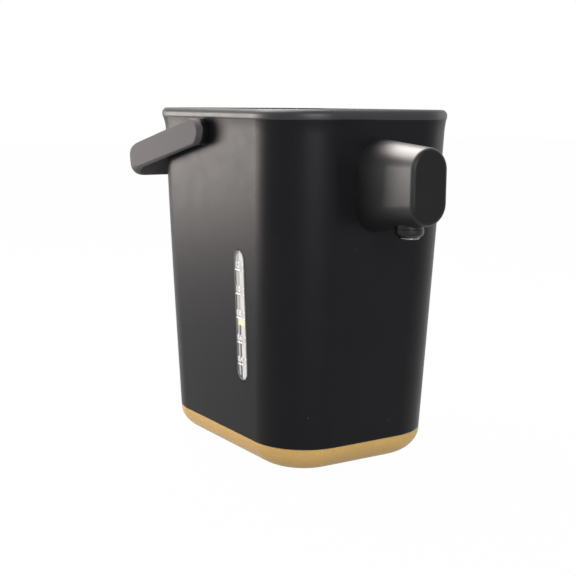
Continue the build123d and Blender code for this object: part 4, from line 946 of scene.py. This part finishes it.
def label(name, words, height, place):
    """Flat lettering made a mesh, centred on its place."""
    curve = bpy.data.curves.new(name, "FONT")
    curve.body = words
    curve.size = height / DIGIT_SHARE
    curve.align_x, curve.align_y = "CENTER", "CENTER"
    curve.extrude = PRINT_DEPTH
    curve.offset = PRINT_SPREAD
    text = link_object(name, curve)
    mesh = evaluated_mesh(text)
    bpy.data.objects.remove(text)
    bpy.data.curves.remove(curve)
    bm = bmesh.new()
    bm.from_mesh(mesh)
    bpy.data.meshes.remove(mesh)
    bmesh.ops.remove_doubles(bm, verts=bm.verts, dist=1e-7)
    return make_object(name, bm, place)


# --- spout
# The spout cover's slot shape at the body's wall and at its face; the shift is its middle's height.
POD_BASE = Level(0, 18.8 * MM, 31.3 * MM, 18.8 * MM, 199.6 * MM)
POD_FACE = Level(0, 14.3 * MM, 24.75 * MM, 14.3 * MM, 202.15 * MM)
OUTLET_RADIUS = 4.0 * MM


def front_y(z):
    """Where the body's front wall is at a height."""
    return -(BASE_HIGH.y + FRONT_DRAFT * (z - SEAM_Z))


def pod_level(y, inset=0.0):
    """The spout cover's upright slot shape at a depth."""
    wall_y = front_y(POD_BASE.shift)
    share = (y - wall_y) / (POD_LOW.y - wall_y)
    values = [a + share * (b - a) for a, b in zip(POD_BASE[1:5], POD_FACE[1:5])]
    half_x, half_y, corner, shift = values
    return Level(-y, half_x - inset, half_y - inset, corner - inset, shift)


def add_pod():
    """The spout cover, from just inside the body's wall to its rounded front."""
    edge, rings, flat = sizes().pod_edge, 6, 1.5 * MM
    start, face = front_y(POD_LOW.z) + OVERLAP, POD_LOW.y
    levels = [pod_level(start + (face + edge - start) * i / rings) for i in range(rings + 1)]
    rounding = round_steps(6)[1:]
    levels += [pod_level(face + edge * (1 - on), edge * inward) for inward, on in rounding]
    levels += [pod_level(face, edge + flat)]
    bm = loft(levels, start_cap=True, end_cap=True, steps=28)
    cover = make_object("spout_pod", bm, UPRIGHT)
    dress(cover, "pot", "gloss_trim", ["spout_cover"], angle=50, finish="pod_black")


def outlet_size(node):
    """A turned piece of the outlet: its place, radius and height."""
    low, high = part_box(node)
    middle = centre("nozzle")
    place = Matrix.Translation((middle.x, middle.y, low.z))
    return place, (high.x - low.x) / 2, high.z - low.z


def add_nozzle():
    """The nozzle under the cover, with a rounded lower edge, and the ring at its outlet."""
    place, radius, tall = outlet_size("nozzle")
    edge, step, chamfer = 2.4 * MM, 0.3 * MM, 0.8 * MM
    lowest, beside = (7.0 * MM, -0.9 * MM), (radius - edge, -0.5 * MM)
    step_low, step_high = 4.6 * MM, 4.9 * MM
    profile = [(OUTLET_RADIUS, tall), (OUTLET_RADIUS, 0.0), lowest, beside]
    profile += [(radius - edge * (1 - on), edge * inward) for inward, on in round_steps(3)[1:]]
    profile += [(radius, step_low), (radius - step, step_high), (radius - step, tall - chamfer)]
    profile += [(radius - step - chamfer, tall), (OUTLET_RADIUS, tall)]
    collar = make_object("nozzle_collar", turned(profile, place))
    dress(collar, "pot", "gloss_trim", ["nozzle"])

    place, radius, tall = outlet_size("nozzle_lip")
    chamfer = 0.4 * MM
    profile = [(OUTLET_RADIUS, 0.0), (radius - chamfer, 0.0), (radius, chamfer), (radius, tall)]
    profile += [(OUTLET_RADIUS, tall), (OUTLET_RADIUS, 0.0)]
    ring = make_object("nozzle_ring", turned(profile, place))
    dress(ring, "pot", "dark_rubber", ["nozzle_lip"], finish="outlet_steel")


# --- handle pivots
# One groove of the pivots' ribs: how far along its pitch, and shares of its depth.
GROOVE = ((0.45, 0), (0.6, 1), (0.9, 1), (1.05, 0))


def add_pivot_caps():
    """The ribbed bosses that the handle turns on, one each side."""
    low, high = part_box("pivot_bosses")
    middle = centre("pivot_bosses")
    radius = (high.z - low.z) / 2
    start = SHELL_HIGH.x - OVERLAP
    length = high.x - start
    pitch, depth, chamfer = 1.4 * MM, 0.5 * MM, 0.4 * MM
    profile = [(0.0, 0.0), (radius, 0.0)]
    for index in range(int((length - pitch) / pitch)):
        profile += [(radius - depth * deep, (index + along) * pitch) for along, deep in GROOVE]
    profile += [(radius, length - chamfer), (radius - chamfer, length), (0.0, length)]
    bm = bmesh.new()
    for side in (-1, 1):
        turn = Matrix.Rotation(radians(90 * side), 4, "Y")
        place = Matrix.Translation((side * start, middle.y, middle.z)) @ turn
        add_to(bm, turned(profile, place, steps=48))
    caps = make_object("pivot_caps", bm)
    dress(caps, "pot", "gloss_trim", ["pivot_bosses"], finish="pivot_black")


# --- handle
HANDLE_SLOPE = radians(12.6)  # how far the handle hangs below the level at rest


def handle_place():
    """The handle's own frame: x across, y from the pivots to the grip, z off its plane."""
    turn = Matrix.Rotation(-HANDLE_SLOPE, 4, "X")
    return Matrix.Translation(centre("pivot_pins")) @ turn


def handle_stations(half, blend_start, bend_y):
    """Along one arm: each section's y, its turn in the corner and its share of the full height."""
    stations = [(-half * sin(radians(a)), 0, cos(radians(a))) for a in (86, 76, 64, 50, 36, 22, 10)]
    stations += [(y * MM, 0, 1) for y in (0, 30, 60, 78)]
    stations += [(blend_start + (bend_y - blend_start) * i / 5, 0, 1) for i in range(6)]
    return stations + [(bend_y, angle, 1) for angle in range(9, 91, 9)]


def add_handle():
    """The bail handle: two flat arms that turn, in round corners, into a rounder, deeper grip."""
    outer_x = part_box("handle")[1].x
    arm, grip = 5.6 * MM, 8.0 * MM  # thickness
    half, grip_low = 9.4 * MM, 13.2 * MM  # above the middle and in the arms, below it in the grip
    reach, corner = 115.5 * MM, 15.6 * MM  # pivots to the back, radius of the outer corners
    blend_start = 88 * MM  # how far out the arms begin to turn into the grip
    blend_end = radians(54)  # how far round the corner they have become it
    arm_edge = 1.3 * MM
    grip_round = sizes().grip_round
    bend_y = reach - corner
    levels, places = [], []
    for index, (y, angle, tip) in enumerate(handle_stations(half, blend_start, bend_y)):
        way = max(0.0, y - blend_start) + corner * radians(angle)
        share = min(1.0, way / (bend_y - blend_start + corner * blend_end))
        share = share * share * (3 - 2 * share)
        thick = arm + share * (grip - arm)
        low, high = half + share * (grip_low - half), half
        middle, tall = (high - low) / 2, (high + low) / 2 * tip
        edge = min(arm_edge, 0.8 * tall)
        outer = tuple(edge + share * (size - edge) for size in grip_round)
        levels.append(Level(index * MM, thick / 2, tall, edge, middle, outer))
        turn = radians(angle)
        out, along = Vector((-cos(turn), sin(turn), 0)), Vector((sin(turn), cos(turn), 0))
        place = Matrix((out, (0, 0, 1), along)).transposed().to_4x4()
        spot = Vector((corner - outer_x, y, 0)) + out * (corner - thick / 2)
        places.append(Matrix.Translation(spot) @ place)
    flip = Matrix.Diagonal((-1, 1, 1, 1))
    turn_back = Matrix.Diagonal((1, 1, -1, 1))
    count = len(levels)
    mirrored = [level._replace(height=(2 * count - i) * MM) for i, level in enumerate(levels)]
    levels += mirrored[::-1]
    places += [flip @ place @ turn_back for place in places][::-1]
    bm = loft(levels, start_cap=True, end_cap=True, steps=10, places=places)
    handle = make_object("bail_handle", bm, handle_place())
    dress(handle, "carry_handle", "handle_plastic", ["handle"], angle=50)


# --- carried-over nodes
def add_node_finishes():
    """Gives every node that stays its finish."""
    for part in frame["record"]["subparts"]:
        node = frame["nodes"][part["node"]]
        node.data.materials.clear()
        slot = part["material_slot"]
        finish = NODE_FINISHES.get(part["node"], FINISH_OF_SLOT.get(slot, slot))
        node.data.materials.append(finish_of(finish))


# --- studio
WARM, COOL = (1.0, 0.92, 0.87), (0.96, 0.97, 1.0)
# Each lamp's name, place, width, height and colour. Its power is among the settings.
LAMPS = (
    ("side", (-0.80, 1.02, 0.23), 0.85, 0.42, WARM),
    ("top", (-0.08, 0.50, 1.20), 1.2, 1.0, WARM),
    ("edge", (1.35, -0.15, 0.30), 0.50, 1.1, WARM),
    ("front", (-0.45, -1.65, 0.55), 1.0, 1.0, COOL),
)
LAMP_TARGET = Vector((0, 0, 0.14))


def add_lamp(name, place, width, height, power, colour):
    """A soft area lamp that faces the pot."""
    lamp = bpy.data.lights.new(name, "AREA")
    lamp.shape = "RECTANGLE"
    lamp.size, lamp.size_y = width, height
    lamp.energy = power
    lamp.color = colour
    holder = link_object(name, lamp)
    holder.location = place
    holder.rotation_mode = "QUATERNION"
    holder.rotation_quaternion = (LAMP_TARGET - Vector(place)).to_track_quat("-Z", "Y")


def add_surround():
    """A world that lights plainly and shows as white."""
    world = bpy.data.worlds.new("studio")
    bpy.context.scene.world = world
    world.use_nodes = True
    plain = world.node_tree.nodes["Background"]
    plain.inputs[0].default_value = (0.35, 0.35, 0.36, 1)
    Graph(world.node_tree).whiten("World Output", plain, "ShaderNodeBackground", 1.0)


def add_floor():
    """A pale floor just under the feet. It shows a little short of white and keeps the shadow."""
    half, gap, white = 6, 0.1 * MM, 0.985
    bm = bmesh.new()
    bmesh.ops.create_grid(bm, x_segments=1, y_segments=1, size=half)
    bmesh.ops.translate(bm, vec=(0, 0, CAD_BOX[0].z - gap), verts=bm.verts)
    floor = make_object("studio_floor", bm)
    paper = bpy.data.materials.new("studio_paper")
    paper.use_nodes = True
    surface = paper.node_tree.nodes["Principled BSDF"]
    surface.inputs["Base Color"].default_value = (0.5, 0.5, 0.5, 1)
    surface.inputs["Roughness"].default_value = 0.9
    Graph(paper.node_tree).whiten("Material Output", surface, "ShaderNodeEmission", white)
    floor.data.materials.append(paper)


def add_camera(studio):
    """The camera, set by its place, its two angles and its roll."""
    camera = link_object("camera", bpy.data.cameras.new("camera"))
    camera.data.lens = studio.lens
    camera.data.sensor_width = SENSOR_WIDTH
    camera.location = studio.camera_place
    back = Vector((
        sin(studio.azimuth) * cos(studio.elevation),
        -cos(studio.azimuth) * cos(studio.elevation),
        sin(studio.elevation),
    ))
    camera.rotation_mode = "QUATERNION"
    roll = Quaternion((0, 0, 1), studio.roll)
    camera.rotation_quaternion = (-back).to_track_quat("-Z", "Y") @ roll
    bpy.context.scene.camera = camera


def add_studio():
    """The surround, the floor, four soft lamps and the camera."""
    scene = bpy.context.scene
    studio = scene.thermo_pot_studio
    scene.view_settings.view_transform = "Standard"
    add_surround()
    add_floor()
    for name, place, width, height, colour in LAMPS:
        power = getattr(studio, name + "_light")
        add_lamp(name + "_lamp", place, width, height, power, colour)
    add_camera(studio)


# --- operators and panel
class POT_OT_node_finishes(bpy.types.Operator):
    """Gives every node that stays its finish"""

    bl_idname = "pot.node_finishes"
    bl_label = "Node finishes"

    def execute(self, context):
        add_node_finishes()
        return {"FINISHED"}


class POT_OT_body_shell(bpy.types.Operator):
    """Adds the outer shell"""

    bl_idname = "pot.body_shell"
    bl_label = "Body shell"

    def execute(self, context):
        add_body_shell()
        return {"FINISHED"}


class POT_OT_base_bowl(bpy.types.Operator):
    """Adds the curved gold base"""

    bl_idname = "pot.base_bowl"
    bl_label = "Base"

    def execute(self, context):
        add_base_bowl()
        return {"FINISHED"}


class POT_OT_rim_band(bpy.types.Operator):
    """Adds the satin band round the collar"""

    bl_idname = "pot.rim_band"
    bl_label = "Rim band"

    def execute(self, context):
        add_rim_band()
        return {"FINISHED"}


class POT_OT_gauge(bpy.types.Operator):
    """Adds the water gauge's window, plate and marks"""

    bl_idname = "pot.gauge"
    bl_label = "Water gauge"

    def execute(self, context):
        add_gauge()
        return {"FINISHED"}


class POT_OT_spout(bpy.types.Operator):
    """Adds the spout cover and the nozzle"""

    bl_idname = "pot.spout"
    bl_label = "Spout"

    def execute(self, context):
        add_pod()
        add_nozzle()
        return {"FINISHED"}


class POT_OT_pivot_caps(bpy.types.Operator):
    """Adds the handle's pivot bosses"""

    bl_idname = "pot.pivot_caps"
    bl_label = "Pivot caps"

    def execute(self, context):
        add_pivot_caps()
        return {"FINISHED"}


class POT_OT_handle(bpy.types.Operator):
    """Adds the bail handle"""

    bl_idname = "pot.handle"
    bl_label = "Handle"

    def execute(self, context):
        add_handle()
        return {"FINISHED"}


class POT_OT_studio(bpy.types.Operator):
    """Adds the floor, the lamps and the camera"""

    bl_idname = "pot.studio"
    bl_label = "Studio"

    def execute(self, context):
        add_studio()
        return {"FINISHED"}


OPERATORS = (
    POT_OT_node_finishes,
    POT_OT_body_shell,
    POT_OT_base_bowl,
    POT_OT_rim_band,
    POT_OT_gauge,
    POT_OT_spout,
    POT_OT_pivot_caps,
    POT_OT_handle,
    POT_OT_studio,
)


class POT_PT_sidebar(bpy.types.Panel):
    """Lists the pieces and the settings"""

    bl_idname = "POT_PT_sidebar"
    bl_label = "Thermo Pot"
    bl_space_type = "VIEW_3D"
    bl_region_type = "UI"
    bl_category = "Thermo Pot"

    def draw(self, context):
        for operator in OPERATORS:
            self.layout.operator(operator.bl_idname)
        for group in SETTINGS:
            box = self.layout.box()
            settings = getattr(context.scene, group)
            for name in settings.bl_rna.properties.keys():
                if name not in ("rna_type", "name"):
                    box.prop(settings, name)


SETTINGS = {
    "thermo_pot_sizes": ThermoPotSizes,
    "thermo_pot_colours": ThermoPotColours,
    "thermo_pot_studio": ThermoPotStudio,
}


def register():
    """Registers the classes and hangs the settings on the scene."""
    for cls in (*SETTINGS.values(), *OPERATORS, POT_PT_sidebar):
        bpy.utils.register_class(cls)
    for name, group in SETTINGS.items():
        setattr(bpy.types.Scene, name, bpy.props.PointerProperty(type=group))


def unregister():
    """Takes away what register adds."""
    for name in SETTINGS:
        delattr(bpy.types.Scene, name)
    for cls in (POT_PT_sidebar, *reversed(OPERATORS), *SETTINGS.values()):
        bpy.utils.unregister_class(cls)


def main():
    """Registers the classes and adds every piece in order."""
    register()
    for operator in OPERATORS:
        group, name = operator.bl_idname.split(".")
        getattr(getattr(bpy.ops, group), name)()


if __name__ == "__main__":
    main()
